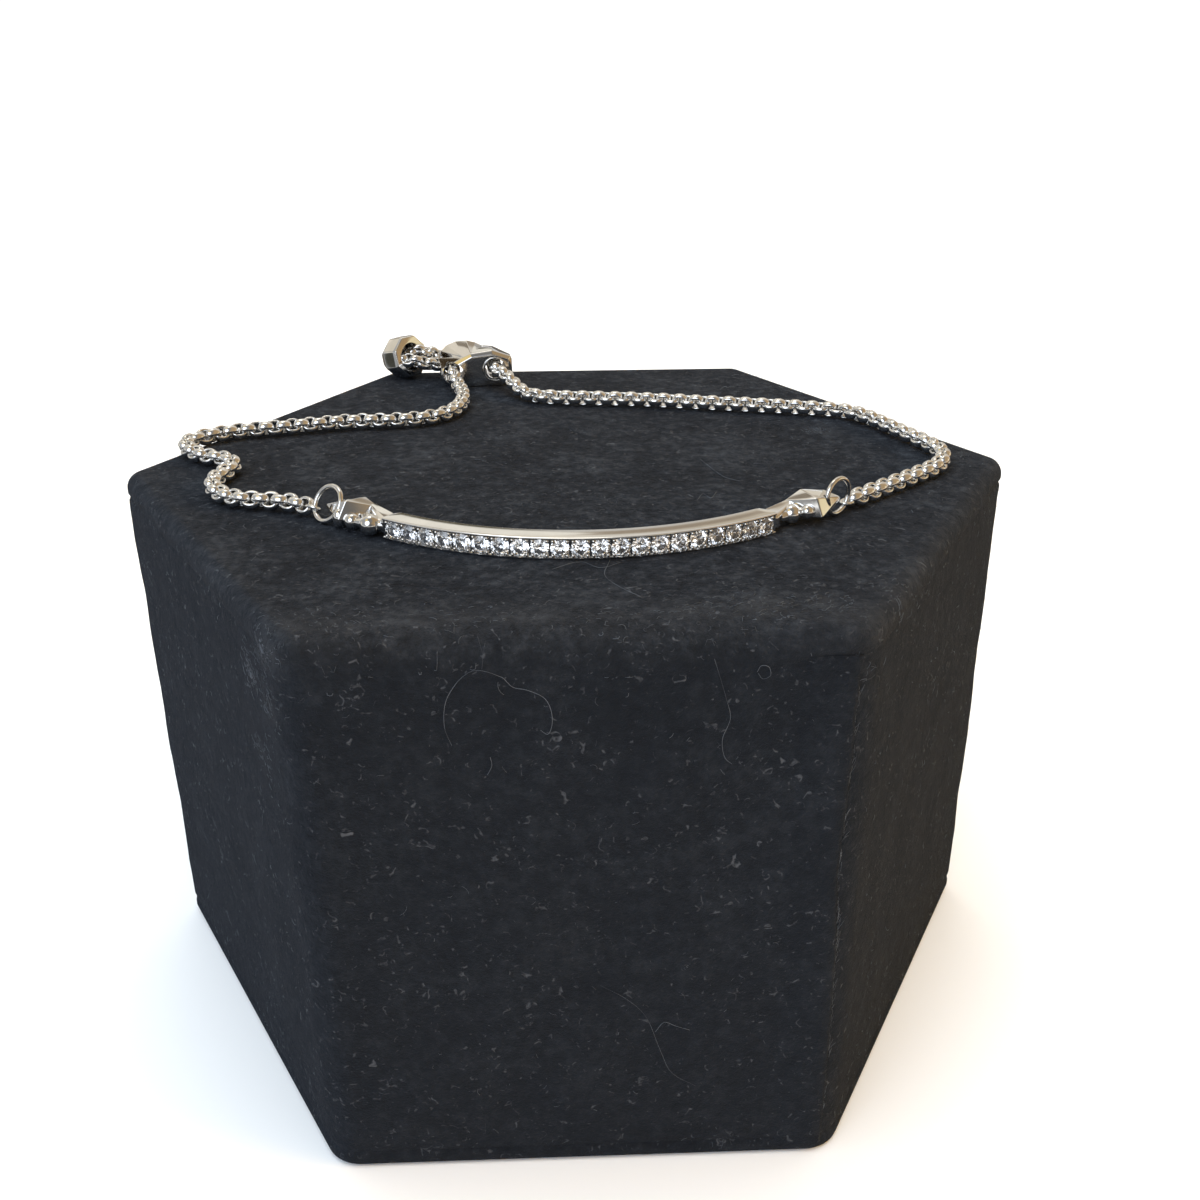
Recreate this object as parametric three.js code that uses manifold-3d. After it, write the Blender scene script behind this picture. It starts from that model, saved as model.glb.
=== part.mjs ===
// Slider bracelet with a curved bar of round stones, lying on a hexagonal velvet display block.
// Millimetres, +Z up. The origin is the centre of the block's underside, with two of its upright
// edges on the X axis. The bar lies on its narrow edge along the front (-Y) of the block's top,
// the chain runs round both sides, and the slider and the end cap lie at the back.
import * as THREE from 'three';
import { mergeVertices } from 'three/addons/utils/BufferGeometryUtils.js';
import { ConvexGeometry } from 'three/addons/geometries/ConvexGeometry.js';
import Module from 'manifold-3d';

const wasm = await Module();
wasm.setup();

// ---- driving dimensions ----

const STAND = {
  across: 96, // corner to corner
  height: 57.25, // without the nap
  nap: 0.25, // velvet nap that the bracelet lies in
  rimRadius: 1.5,
  footRadius: 1,
  cornerRadius: 2.5,
};

const REST = STAND.height + STAND.nap; // the level that the bracelet lies on

const BAR = {
  centreX: 1.08, // centre of the bar's curve
  centreY: 6.06,
  radius: 32.7, // front face
  depth: 2.1,
  height: 2.15,
  middle: -0.9, // degrees from -Y, where the bar's middle lies
  halfAngle: 34.25,
  rim: 0.25, // plain edge above and below the stones
  channelDepth: 0.15,
};

const STONES = {
  count: 21,
  pitch: 1.84, // along the front face
  diameter: 1.52,
  table: 0.57, // shares of the diameter
  crown: 0.15,
  girdle: 0.04,
  pavilion: 0.43,
  setback: 0.22, // girdle below the front face
  clearance: 0.1,
};

const GRAIN = { radius: 0.2, level: 0.38, setback: 0.12 }; // the beads that hold the stones

// The stacked beads and faceted stud that join each end of the bar to its jump ring. Lengths run
// outwards from the bar's end, across is towards the inside of the loop.
const CONNECTOR = {
  axisHeight: 1.1,
  neckRadius: 0.8,
  bigBead: { out: 2.8, across: 0.2, radius: 0.97 },
  smallBead: { out: 4.4, across: 0, radius: 0.68 },
  // the stud's corners: out, across, height
  stud: [
    { out: 2.9, across: 1.45, up: 0.45 },
    { out: 2.9, across: 1.5, up: 2.05 },
    { out: 4.95, across: 1.7, up: 2.8 },
    { out: 4.9, across: 1.5, up: 0.55 },
    { out: 4.8, across: -1.1, up: 2.75 },
    { out: 5.5, across: -0.95, up: 0.5 },
    { out: 7.4, across: 1.15, up: 2.45 },
    { out: 7.1, across: 0.95, up: 0.95 },
    { out: 8.7, across: 0.1, up: 1.8 },
    { out: 8.7, across: 0.1, up: 1.4 },
  ],
};

const RING = { radius: 1.75, wire: 0.25, clearance: 0.2 };

// How each side lies: the way its connector points, and how far its stud is rolled and dipped;
// then its jump ring's place, the way it faces and leans, and where round it the chain's eye sits.
const SIDES = {
  right: {
    mirror: 1, angle: 27.9, roll: 0, dip: 0,
    ring: { out: 8.15, across: -0.1, angle: 41.9, lean: 0, hold: 35 },
  },
  left: {
    mirror: -1, angle: 37.1, roll: 10, dip: 5,
    ring: { out: 7.65, across: -0.45, angle: 136, lean: 32, hold: 30 },
  },
};

const CHAIN = {
  radius: 1,
  sides: 8,
  stepLength: 2.5,
  start: 1.2, // from the jump ring's wire to the first full section
  eyeRadius: 0.65,
  eyeWire: 0.2,
  channel: 0.35, // clearance through the slider and the end cap
};

// Routes of the chain's centre line, each from its jump ring round to the end cap; heights are
// above the level that the bracelet lies on.
const LEFT_ROUTE = [
  [-27.6, -13.1, 1], [-30.5, -12.3, 1], [-32.5, -12, 1], [-33.9, -11.2, 1], [-35.1, -10.2, 1],
  [-36.1, -8.7, 1], [-36.6, -6.6, 1], [-36.4, -4.6, 1], [-35.9, -3, 1], [-35.7, -1.7, 1],
  [-36.1, -0.4, 1], [-37, 0.6, 1], [-38.4, 1.4, 1], [-39.9, 2.2, 1], [-41.4, 3.7, 1],
  [-42.4, 5.5, 1], [-42.7, 7.3, 1], [-42.2, 9, 1], [-41.2, 10.3, 1], [-40, 11.4, 1],
  [-38.5, 12.2, 1], [-36.7, 12.5, 1], [-34.5, 12.5, 1], [-30.1, 13.2, 1], [-25.5, 14.1, 1],
  [-20.9, 14.3, 1], [-18.2, 14.7, 1], [-15.8, 15.7, 1], [-14.2, 17.3, 1], [-13.2, 19.6, 1],
  [-12.8, 22.7, 1], [-13, 26, 1], [-13.7, 29, 1.1], [-14.3, 31, 1.6], [-14.5, 32.2, 1.85],
  [-14.7, 34.2, 1.9], [-14.75, 35.6, 1.9], [-14.9, 36.55, 1.9], [-15.35, 37.25, 1.85],
  [-16.15, 37.5, 1.85], [-17.1, 37.1, 1.9], [-18.3, 36.3, 2.2], [-19.5, 35.8, 2.6],
  [-20.6, 35.95, 2.85], [-21.5, 36.5, 2.7], [-22.2, 37, 2.5],
];

const RIGHT_ROUTE = [
  [28.9, -13.8, 1], [30.4, -12.6, 1], [32.3, -11, 1], [34.2, -9.5, 1], [36.1, -7.8, 1],
  [37.8, -6.3, 1], [39.3, -4.5, 1], [40.2, -2.4, 1], [40.4, 0, 1], [39.9, 2.3, 1],
  [39.1, 4.8, 1], [38.1, 7.7, 1], [37.1, 10.5, 1], [36.1, 13.4, 1], [34.7, 15.8, 1],
  [33, 17, 1], [30.8, 17.7, 1], [25, 19.1, 1], [17.7, 20.4, 1], [9.2, 22.3, 1],
  [4.3, 22.9, 1], [-0.7, 23.4, 1], [-3.2, 24, 1], [-4.6, 24.8, 1], [-5.7, 26.2, 1.2],
  [-6.7, 28.2, 1.6], [-7.8, 30.4, 2.1], [-8.8, 32, 2.35], [-9.2, 33.4, 2.35], [-9.4, 35.2, 2.35],
  [-9.7, 37, 2.35], [-10.6, 38.6, 2.3], [-12.2, 39.5, 2.2], [-14, 39.75, 2.2],
  [-15.7, 39.7, 2.3], [-17.1, 39.3, 2.6], [-18.2, 38.6, 3.1], [-19.1, 38.1, 3.45],
  [-19.9, 38.1, 3.5], [-20.6, 38.5, 3.3], [-21.2, 38.95, 3.1],
];

// The slider is a faceted bead. Its own frame has the middle of its front foot at the origin.
const SLIDER = {
  x: -11.6,
  y: 32.36,
  turn: 4.9,
  depth: 4.2,
  // corners of the front face and of the back face: across, height
  front: [
    [-4.6, 1], [-4.6, 2.2], [-0.8, 4.25], [1.9, 4.5], [4.7, 3.55], [4.8, 1.2], [3.6, 0], [-3.2, 0],
  ],
  back: [
    [-4.8, 1.2], [-4.9, 3.2], [-4.1, 4.5], [-2.8, 5.2], [-0.8, 5.3], [0.7, 4.75], [2, 4.5],
    [4.2, 3.65], [4.75, 1.5], [3.6, 0], [-3.4, 0],
  ],
  collarRadius: 1.7,
  collarDepth: 0.25,
  mouths: [[-2.95, 1.85], [2.5, 2.3]],
};

// The end cap is an eight-sided cup that holds both tails of the chain.
const CAP = {
  x: -20.3, // middle of the mouth
  y: 36.95,
  height: 3.2,
  turn: 143, // the way it points, mouth to closed end
  droop: 15, // degrees that the closed end hangs down
  sides: 8,
  bore: 2.25,
  boreDepth: 2.9,
  // profile from the mouth to the closed end: along, half the width across flats
  profile: [[0, 2.55], [0.5, 2.65], [2.3, 2.6], [3.9, 1.5]],
};

// ---- materials ----

const metal = new THREE.MeshStandardMaterial({ color: 0xd8d5cf, roughness: 0.14, metalness: 1 });
const crystal = new THREE.MeshStandardMaterial({ color: 0xf2f5fa, roughness: 0.03, metalness: 0 });
const velvet = new THREE.MeshStandardMaterial({ color: 0x17191f, roughness: 0.95, metalness: 0 });

// ---- helpers ----

const rad = THREE.MathUtils.degToRad;

// A closed geometry as a solid that can be joined and cut.
function toSolid(geometry) {
  const bare = geometry.clone();
  bare.deleteAttribute('normal');
  bare.deleteAttribute('uv');
  const merged = mergeVertices(bare, 1e-4);
  return new wasm.Manifold(new wasm.Mesh({
    numProp: 3,
    vertProperties: new Float32Array(merged.attributes.position.array),
    triVerts: new Uint32Array(merged.index.array),
  }));
}

function toGeometry(solid) {
  const mesh = solid.getMesh();
  const geometry = new THREE.BufferGeometry();
  geometry.setAttribute('position', new THREE.BufferAttribute(mesh.vertProperties, 3));
  geometry.setIndex(new THREE.BufferAttribute(mesh.triVerts, 1));
  geometry.computeVertexNormals();
  return geometry;
}

function joined(geometries) {
  return geometries.map(toSolid).reduce((whole, piece) => whole.add(piece));
}

// A lathe about +Z from a profile of [radius, height] pairs.
function turned(profile, sides) {
  const outline = profile.map(([radius, height]) => new THREE.Vector2(radius, height));
  return new THREE.LatheGeometry(outline, sides).rotateX(Math.PI / 2);
}

// Places a geometry with its own +Z along a direction and its origin at a point.
function aimed(geometry, direction, origin) {
  const turn = new THREE.Quaternion().setFromUnitVectors(
    new THREE.Vector3(0, 0, 1), direction.clone().normalize());
  return geometry.applyQuaternion(turn).translate(origin.x, origin.y, origin.z);
}

function rod(from, to, radius, sides) {
  const length = from.distanceTo(to);
  const profile = [[0, 0], [radius, 0], [radius, length], [0, length]];
  return aimed(turned(profile, sides), to.clone().sub(from), from);
}

function bead(centre, radius, around, rings) {
  return new THREE.SphereGeometry(radius, around, rings).translate(centre.x, centre.y, centre.z);
}

function named(name, geometry, material) {
  const mesh = new THREE.Mesh(geometry, material);
  mesh.name = name;
  return mesh;
}

// ---- display stand ----

// One outline of the block, drawn in by an inset, with its corners rounded.
function standOutline(inset, height) {
  const corner = Math.max(STAND.cornerRadius - inset, 0.1);
  const apothem = (STAND.across / 2) * Math.cos(rad(30)) - inset;
  const cornerDistance = (apothem - corner) / Math.cos(rad(30));
  const arcSteps = 4;
  const points = [];
  for (let side = 0; side < 6; side += 1) {
    for (let step = 0; step <= arcSteps; step += 1) {
      const angle = rad(60 * side - 30 + (60 * step) / arcSteps);
      points.push(new THREE.Vector3(
        cornerDistance * Math.cos(rad(60 * side)) + corner * Math.cos(angle),
        cornerDistance * Math.sin(rad(60 * side)) + corner * Math.sin(angle),
        height,
      ));
    }
  }
  return points;
}

// A closed body through a stack of outlines of equal length.
function lofted(outlines) {
  const count = outlines[0].length;
  const points = outlines.flat();
  const index = [];
  for (let level = 0; level < outlines.length - 1; level += 1) {
    for (let i = 0; i < count; i += 1) {
      const a = level * count + i;
      const b = level * count + ((i + 1) % count);
      index.push(a, b, b + count, a, b + count, a + count);
    }
  }
  const last = (outlines.length - 1) * count;
  for (let i = 1; i < count - 1; i += 1) {
    index.push(0, i + 1, i, last, last + i, last + i + 1);
  }
  const geometry = new THREE.BufferGeometry().setFromPoints(points);
  geometry.setIndex(index);
  geometry.computeVertexNormals();
  return geometry;
}

function displayStand() {
  const outlines = [];
  for (const degrees of [0, 45, 90]) {
    const inset = STAND.footRadius * (1 - Math.sin(rad(degrees)));
    const height = STAND.footRadius * (1 - Math.cos(rad(degrees)));
    outlines.push(standOutline(inset, height));
  }
  for (const degrees of [0, 22.5, 45, 67.5, 90]) {
    const inset = STAND.rimRadius * (1 - Math.cos(rad(degrees)));
    const height = STAND.height - STAND.rimRadius * (1 - Math.sin(rad(degrees)));
    outlines.push(standOutline(inset, height));
  }
  return named('display_stand', lofted(outlines), velvet);
}

// ---- bar and its connectors ----

// A point on the bar's curve: degrees from the bar's middle, distance from the curve's centre.
function barPoint(degrees, radius, height) {
  const angle = rad(BAR.middle + degrees);
  return new THREE.Vector3(
    BAR.centreX + radius * Math.sin(angle),
    BAR.centreY - radius * Math.cos(angle),
    REST + height,
  );
}

// A block that follows the bar's curve.
function barBlock(outer, inner, halfAngle, low, high) {
  const from = rad(BAR.middle - halfAngle - 90);
  const to = rad(BAR.middle + halfAngle - 90);
  const shape = new THREE.Shape();
  shape.absarc(BAR.centreX, BAR.centreY, outer, from, to, false);
  shape.absarc(BAR.centreX, BAR.centreY, inner, to, from, true);
  const solid = new THREE.ExtrudeGeometry(shape, {
    depth: high - low, bevelEnabled: false, curveSegments: STONES.count,
  });
  return solid.translate(0, 0, REST + low);
}

function stoneAngle(index) {
  const step = THREE.MathUtils.radToDeg(STONES.pitch / BAR.radius);
  return (index - (STONES.count - 1) / 2) * step;
}

function connectorPoint(side, out, across, up) {
  const end = barPoint(side.mirror * BAR.halfAngle, BAR.radius - BAR.depth / 2, 0);
  const angle = rad(side.angle);
  return new THREE.Vector3(
    end.x + side.mirror * (out * Math.cos(angle) - across * Math.sin(angle)),
    end.y + out * Math.sin(angle) + across * Math.cos(angle),
    REST + up,
  );
}

// A corner of the stud, rolled about the connector's length and dipped towards its outer end.
function studPoint(side, { out, across, up }) {
  const roll = rad(side.roll);
  const rise = up - CONNECTOR.axisHeight;
  const dip = Math.max(0, out - CONNECTOR.bigBead.out) * Math.sin(rad(side.dip));
  const turnedAcross = across * Math.cos(roll) + rise * Math.sin(roll);
  const turnedUp = rise * Math.cos(roll) - across * Math.sin(roll) - dip;
  return connectorPoint(side, out, turnedAcross, CONNECTOR.axisHeight + turnedUp);
}

// The jump ring's frame: its centre, the level way along it from the bar, and the way up it.
function ringFrame({ ring, ...side }) {
  const angle = rad(ring.angle);
  const lean = rad(ring.lean);
  const rise = RING.wire + RING.radius * Math.cos(lean);
  const aside = Math.sin(lean);
  return {
    centre: connectorPoint(side, ring.out, ring.across, rise),
    along: new THREE.Vector3(Math.cos(angle), Math.sin(angle), 0),
    up: new THREE.Vector3(aside * Math.sin(angle), -aside * Math.cos(angle), Math.cos(lean)),
  };
}

function ringTorus(side, wire) {
  const { centre, along, up } = ringFrame(side);
  return new THREE.TorusGeometry(RING.radius, wire, 8, 24)
    .applyMatrix4(new THREE.Matrix4().makeBasis(along, up, along.clone().cross(up)))
    .translate(centre.x, centre.y, centre.z);
}

function connectorSolid(side) {
  const { axisHeight, neckRadius, bigBead, smallBead, stud } = CONNECTOR;
  const bigCentre = connectorPoint(side, bigBead.out, bigBead.across, axisHeight);
  const smallCentre = connectorPoint(side, smallBead.out, smallBead.across, axisHeight);
  const inside = connectorPoint(side, -0.4, 0, axisHeight);
  const corners = stud.map((corner) => studPoint(side, corner));
  const whole = joined([
    rod(inside, bigCentre, neckRadius, 16),
    bead(bigCentre, bigBead.radius, 14, 9),
    bead(smallCentre, smallBead.radius, 12, 8),
    new ConvexGeometry(corners),
  ]);
  return whole.subtract(toSolid(ringTorus(side, RING.wire + RING.clearance)));
}

function bar() {
  let solid = toSolid(barBlock(BAR.radius, BAR.radius - BAR.depth, BAR.halfAngle, 0, BAR.height));
  const floor = BAR.radius - BAR.channelDepth;
  const reach = BAR.halfAngle - THREE.MathUtils.radToDeg(BAR.rim / BAR.radius);
  solid = solid.subtract(
    toSolid(barBlock(BAR.radius + 1, floor, reach, BAR.rim, BAR.height - BAR.rim)));
  const girdle = BAR.radius - STONES.setback;
  const seatRadius = STONES.diameter / 2 + STONES.clearance;
  const seatDepth = STONES.pavilion * STONES.diameter + 2 * STONES.clearance;
  for (let i = 0; i < STONES.count; i += 1) {
    const foot = barPoint(stoneAngle(i), girdle - seatDepth, BAR.height / 2);
    const profile = [
      [0, 0], [seatRadius, seatDepth - STONES.clearance], [seatRadius, seatDepth + 0.6],
      [0, seatDepth + 0.6],
    ];
    const outwards = barPoint(stoneAngle(i), BAR.radius, BAR.height / 2).sub(foot);
    solid = solid.subtract(toSolid(aimed(turned(profile, 12), outwards, foot)));
  }
  for (let i = 0; i <= STONES.count; i += 1) {
    for (const level of [GRAIN.level, BAR.height - GRAIN.level]) {
      const centre = barPoint(stoneAngle(i - 0.5), BAR.radius - GRAIN.setback, level);
      solid = solid.add(toSolid(bead(centre, GRAIN.radius, 6, 4)));
    }
  }
  for (const side of Object.values(SIDES)) solid = solid.add(connectorSolid(side));
  return named('bar', toGeometry(solid), metal);
}

// ---- stones ----

// A round brilliant about +Z with its girdle at height 0: table, stars, mains, girdle, pavilion.
function brilliant(diameter) {
  const radius = diameter / 2;
  const top = STONES.crown * diameter;
  const half = (STONES.girdle * diameter) / 2;
  const ring = (count, offset, r, height) => Array.from({ length: count }, (_, i) => {
    const angle = (2 * Math.PI * (i + offset)) / count;
    return new THREE.Vector3(r * Math.cos(angle), r * Math.sin(angle), height);
  });
  return new ConvexGeometry([
    ...ring(8, 0.5, STONES.table * radius, top),
    ...ring(8, 0, 0.78 * radius, top * 0.56),
    ...ring(16, 0, radius, half),
    ...ring(16, 0, radius, -half),
    ...ring(8, 0.5, 0.42 * radius, -STONES.pavilion * diameter * 0.58),
    new THREE.Vector3(0, 0, -STONES.pavilion * diameter),
  ]);
}

function stone(index) {
  const centre = barPoint(stoneAngle(index), BAR.radius - STONES.setback, BAR.height / 2);
  const outwards = barPoint(stoneAngle(index), BAR.radius, BAR.height / 2).sub(centre);
  const number = String(index + 1).padStart(2, '0');
  const cut = aimed(brilliant(STONES.diameter), outwards, new THREE.Vector3());
  const mesh = named(`stone_${number}`, cut, crystal);
  mesh.position.copy(centre);
  return mesh;
}

// ---- jump rings and chain ----

// Where the chain's end eye holds the jump ring: the wire's centre and its direction there, and
// the way from it to the chain.
function chainStart(side, route) {
  const { centre, along, up } = ringFrame(side);
  const angle = rad(side.ring.hold);
  const hold = centre
    .addScaledVector(along, RING.radius * Math.cos(angle))
    .addScaledVector(up, -RING.radius * Math.sin(angle));
  const wireway = along.multiplyScalar(Math.sin(angle)).addScaledVector(up, Math.cos(angle));
  const heading = new THREE.Vector3(route[0][0], route[0][1], hold.z).sub(hold).normalize();
  return { hold, wireway, heading };
}

function chainTube(side, route, radius) {
  const { hold, heading } = chainStart(side, route);
  const points = [hold.clone().addScaledVector(heading, CHAIN.start)];
  for (const [x, y, height] of route) points.push(new THREE.Vector3(x, y, REST + height));
  const path = new THREE.CatmullRomCurve3(points, false, 'centripetal');
  const section = new THREE.Shape(Array.from({ length: CHAIN.sides }, (_, i) => {
    const angle = (2 * Math.PI * i) / CHAIN.sides;
    return new THREE.Vector2(radius * Math.cos(angle), radius * Math.sin(angle));
  }));
  const steps = Math.round(path.getLength() / CHAIN.stepLength);
  return new THREE.ExtrudeGeometry(section, { steps, bevelEnabled: false, extrudePath: path });
}

function chain(name, side, route) {
  const { hold, wireway, heading } = chainStart(side, route);
  const across = wireway.clone().cross(heading).normalize();
  const basis = new THREE.Matrix4().makeBasis(heading, across, heading.clone().cross(across));
  const eye = new THREE.TorusGeometry(CHAIN.eyeRadius, CHAIN.eyeWire, 6, 16).applyMatrix4(basis);
  const from = hold.clone().addScaledVector(heading, CHAIN.eyeRadius);
  const to = hold.clone().addScaledVector(heading, CHAIN.start + 0.4);
  const solid = joined([
    chainTube(side, route, CHAIN.radius),
    rod(from, to, 0.3, 10),
    eye.translate(hold.x, hold.y, hold.z),
  ]);
  return named(name, toGeometry(solid), metal);
}

function chainChannels() {
  const radius = CHAIN.radius + CHAIN.channel;
  return toSolid(chainTube(SIDES.left, LEFT_ROUTE, radius))
    .add(toSolid(chainTube(SIDES.right, RIGHT_ROUTE, radius)));
}

// ---- slider and end cap ----

function slider(channels) {
  const corners = [
    ...SLIDER.front.map(([across, up]) => new THREE.Vector3(across, 0, up)),
    ...SLIDER.back.map(([across, up]) => new THREE.Vector3(across, SLIDER.depth, up)),
  ];
  const collars = SLIDER.mouths.map(([across, up]) => rod(
    new THREE.Vector3(across, -SLIDER.collarDepth, up),
    new THREE.Vector3(across, SLIDER.collarDepth, up),
    SLIDER.collarRadius, 24));
  const body = toGeometry(joined([new ConvexGeometry(corners), ...collars]));
  body.rotateZ(rad(SLIDER.turn)).translate(SLIDER.x, SLIDER.y, REST);
  return named('slider', toGeometry(toSolid(body).subtract(channels)), metal);
}

function endCap(channels) {
  const flat = Math.PI / CAP.sides;
  const closed = CAP.profile[CAP.profile.length - 1][0];
  const outside = CAP.profile.map(([along, width]) => [width / Math.cos(flat), along]);
  const bore = [[0, -1], [CAP.bore, -1], [CAP.bore, CAP.boreDepth], [0, CAP.boreDepth]];
  const place = (geometry) => geometry
    .rotateZ(flat)
    .rotateY(rad(90 + CAP.droop))
    .rotateZ(rad(CAP.turn))
    .translate(CAP.x, CAP.y, REST + CAP.height);
  const cup = toSolid(place(turned([[0, 0], ...outside, [0, closed]], CAP.sides)))
    .subtract(toSolid(place(turned(bore, 24))));
  return named('end_cap', toGeometry(cup.subtract(channels)), metal);
}

// ---- assembly ----

const bracelet = new THREE.Group();
bracelet.add(bar());
for (let i = 0; i < STONES.count; i += 1) bracelet.add(stone(i));
bracelet.add(named('jump_ring_right', ringTorus(SIDES.right, RING.wire), metal));
bracelet.add(named('jump_ring_left', ringTorus(SIDES.left, RING.wire), metal));
bracelet.add(chain('chain_right', SIDES.right, RIGHT_ROUTE));
bracelet.add(chain('chain_left', SIDES.left, LEFT_ROUTE));

const channels = chainChannels();
bracelet.add(slider(channels));
bracelet.add(endCap(channels));

const displayedBracelet = new THREE.Group();
displayedBracelet.add(displayStand(), bracelet);

export default displayedBracelet;
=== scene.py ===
"""Slider bracelet with a curved bar of round stones, lying on a hexagonal velvet display block."""
import random
from math import copysign, cos, exp, pi, radians as rad, sin

import bmesh
import bpy
import numpy as np
from mathutils import Matrix, Vector, noise

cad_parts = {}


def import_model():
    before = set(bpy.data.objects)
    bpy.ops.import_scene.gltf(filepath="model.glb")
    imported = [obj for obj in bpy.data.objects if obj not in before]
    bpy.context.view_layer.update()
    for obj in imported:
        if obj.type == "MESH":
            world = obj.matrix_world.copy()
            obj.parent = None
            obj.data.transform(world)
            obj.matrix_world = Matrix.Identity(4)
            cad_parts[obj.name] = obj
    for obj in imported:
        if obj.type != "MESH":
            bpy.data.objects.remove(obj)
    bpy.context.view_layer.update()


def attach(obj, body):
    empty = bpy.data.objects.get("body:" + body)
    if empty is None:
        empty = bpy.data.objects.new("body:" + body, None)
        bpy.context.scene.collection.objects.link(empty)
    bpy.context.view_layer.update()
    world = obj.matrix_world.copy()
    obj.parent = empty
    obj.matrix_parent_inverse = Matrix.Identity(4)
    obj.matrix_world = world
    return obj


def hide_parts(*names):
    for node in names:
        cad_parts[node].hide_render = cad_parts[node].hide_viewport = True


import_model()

# -------- dimensions, millimetres
MM = 0.001
UP = np.array([0, 0, 1.0])
REST = 57.5  # the level that the bracelet lies on

STAND_ACROSS = 96  # from corner to corner
APOTHEM = STAND_ACROSS / 2 * cos(rad(30))
STAND_CORNER = 2.5
FRONT_CORNER = 4.0  # the two front corners, where the velvet is wrapped thicker
FRONT_SIDE = 4
FOOT_RADIUS = 0.9
# the crease round the block where its velvet is turned under
CREASE_HEIGHT = 2.0
CREASE_DEPTH = 0.22
CREASE_WIDTH = 0.35
# the plain part of the sides
PLAIN_FROM = 4.0
PLAIN_TO = 50.0
RIM_RADIUS = 1.7
FRONT_RIM = 1.5  # more, along the front
# the seam under the rim; it is deepest at the block's left and right corners
SEAM_DROP = 0.75
SEAM_WIDTH = 0.22
SEAM_DEPTH = 0.07
SIDE_SEAM_DEPTH = 0.28
# the rubbed band along a rim, lighter as rubbed nap and as painted sheen: distance in from the side, width,
# strength; and its reach down the side
FRONT_RUB_AND_SHEEN = (2.2, 3.6, 0.85)
SIDE_RUB_AND_SHEEN = (0.8, 1.6, 0.5)
RUB_AND_SHEEN_DEPTH = 2.2
# Rubbed spots: x, y, z, size, strength
WORN_PATCHES = [
    (15.5, -37.4, 57.4, 2.6, 0.9), (20.5, -36.5, 57.4, 1.8, 0.8), (27.5, -34.5, 57.2, 2.2, 0.7),
    (-25.0, -40.0, 55.5, 1.9, 1.0), (29.0, 11.2, 57.4, 1.1, 1.6), (-10.0, -38.8, 57.2, 3.0, 0.6),
    (3.0, -39.0, 57.2, 2.6, 0.6), (-19.0, -39.0, 57.0, 2.6, 0.7), (-25.5, -38.5, 50.0, 2.0, 0.8),
    (-27.5, -35.0, 43.0, 1.8, 0.6), (9.0, -38.0, 57.4, 2.4, 0.7), (22.5, -40.0, 53.0, 1.5, 0.5),
    (-26.0, -38.1, 55.0, 1.5, 1.2), (-28.0, -35.5, 51.5, 1.4, 1.0),
]

# The edge of the front panel's velvet: x and z
LAP_LINE = [
    (23.25, 55.6), (22.85, 52.8), (22.8, 44.7), (22.35, 33.2), (23.0, 24.3), (23.1, 14.9),
    (23.15, 6.3), (23.1, 1.4),
]
# across from the lap's edge, and height over the velvet under it
LAP_SECTION = [
    (-7.0, -0.2), (-5.5, -0.05), (-4.0, 0.05), (-2.4, 0.12), (-1.0, 0.19), (-0.3, 0.24),
    (0.0, 0.18), (0.1, 0.05), (0.05, -0.2),
]

LINT_COUNT = 4200
TOP_LINT = 0.34  # the share that lies on the top
PATCH_LINT = 55  # fibres on a rubbed spot of strength 1
LAP_LINT = 190
# Hairs: the face, the hair's radius, and points on it (x and z on the front, x and y on the top)
HAIRS = [
    ("front", 0.020, [
        (-10.5, 47.5), (-11.0, 49.3), (-10.6, 52.1), (-8.5, 54.4), (-6.2, 53.7), (-5.3, 52.8),
        (-4.2, 52.5), (-2.7, 51.6), (-2.2, 49.7), (-2.6, 48.4), (-3.2, 48.8),
    ]),
    ("front", 0.017, [
        (10.9, 55.0), (11.3, 53.7), (12.0, 51.3), (12.4, 49.5), (11.8, 47.5), (12.1, 45.7),
        (12.7, 45.1),
    ]),
    ("front", 0.022, [(14.4, 53.7), (14.7, 54.3), (15.3, 54.2), (15.5, 53.4), (14.9, 53.1), (14.5, 53.6)]),
    ("front", 0.014, [(1.6, 21.9), (3.9, 20.3), (5.7, 18.2), (7.2, 13.9), (8.3, 11.2), (10.6, 9.4)]),
    ("front", 0.022, [(6.7, 16.2), (7.5, 17.3), (8.6, 16.8), (9.9, 16.3)]),
    ("front", 0.024, [(-7.7, 44.6), (-7.3, 45.5), (-7.4, 46.3)]),
    ("top", 0.018, [(14.4, 1.2), (15.5, -2.6), (16.4, -5.0), (17.8, -6.3)]),
    ("top", 0.022, [(12.7, -11.7), (13.5, -9.9), (14.1, -11.2), (14.9, -9.4)]),
    ("top", 0.018, [(3.2, -26.7), (2.6, -30.2), (4.0, -33.0), (5.3, -34.6)]),
    ("top", 0.016, [(-2.0, -28.6), (0.5, -27.0), (2.3, -28.4), (4.1, -27.3)]),
]

BAR_CENTRE = (1.08, 6.06)  # of the arc that the bar follows
BAR_RADIUS = 32.7
BAR_DEPTH = 2.1
BAR_HEIGHT = 2.15
BAR_MIDDLE = -0.9  # the direction of the bar's middle, in degrees
BAR_HALF_ANGLE = 34.25
BAR_RIM = 0.25  # the edge above and below the stones
CHANNEL_DEPTH = 0.16  # of the channel that the stones sit in
# the bar's back thins towards its ends, over a length, by a depth and by a height
BAR_TAPER = 1.0
BAR_SLIM = 0.15
BAR_DROP = 0.12

STONE_COUNT = 21
STONE_PITCH = 1.84
STONE_DIAMETER = 1.79
STONE_SETBACK = 0.22  # from the bar's front to the girdle
# the crown's height, the pavilion's depth and half the girdle's height, as shares of the diameter
STONE_CROWN = 0.15
STONE_PAVILION = 0.43
STONE_GIRDLE = 0.02
STONE_TILT = 0.05  # how far a stone may lean out of line
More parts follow.
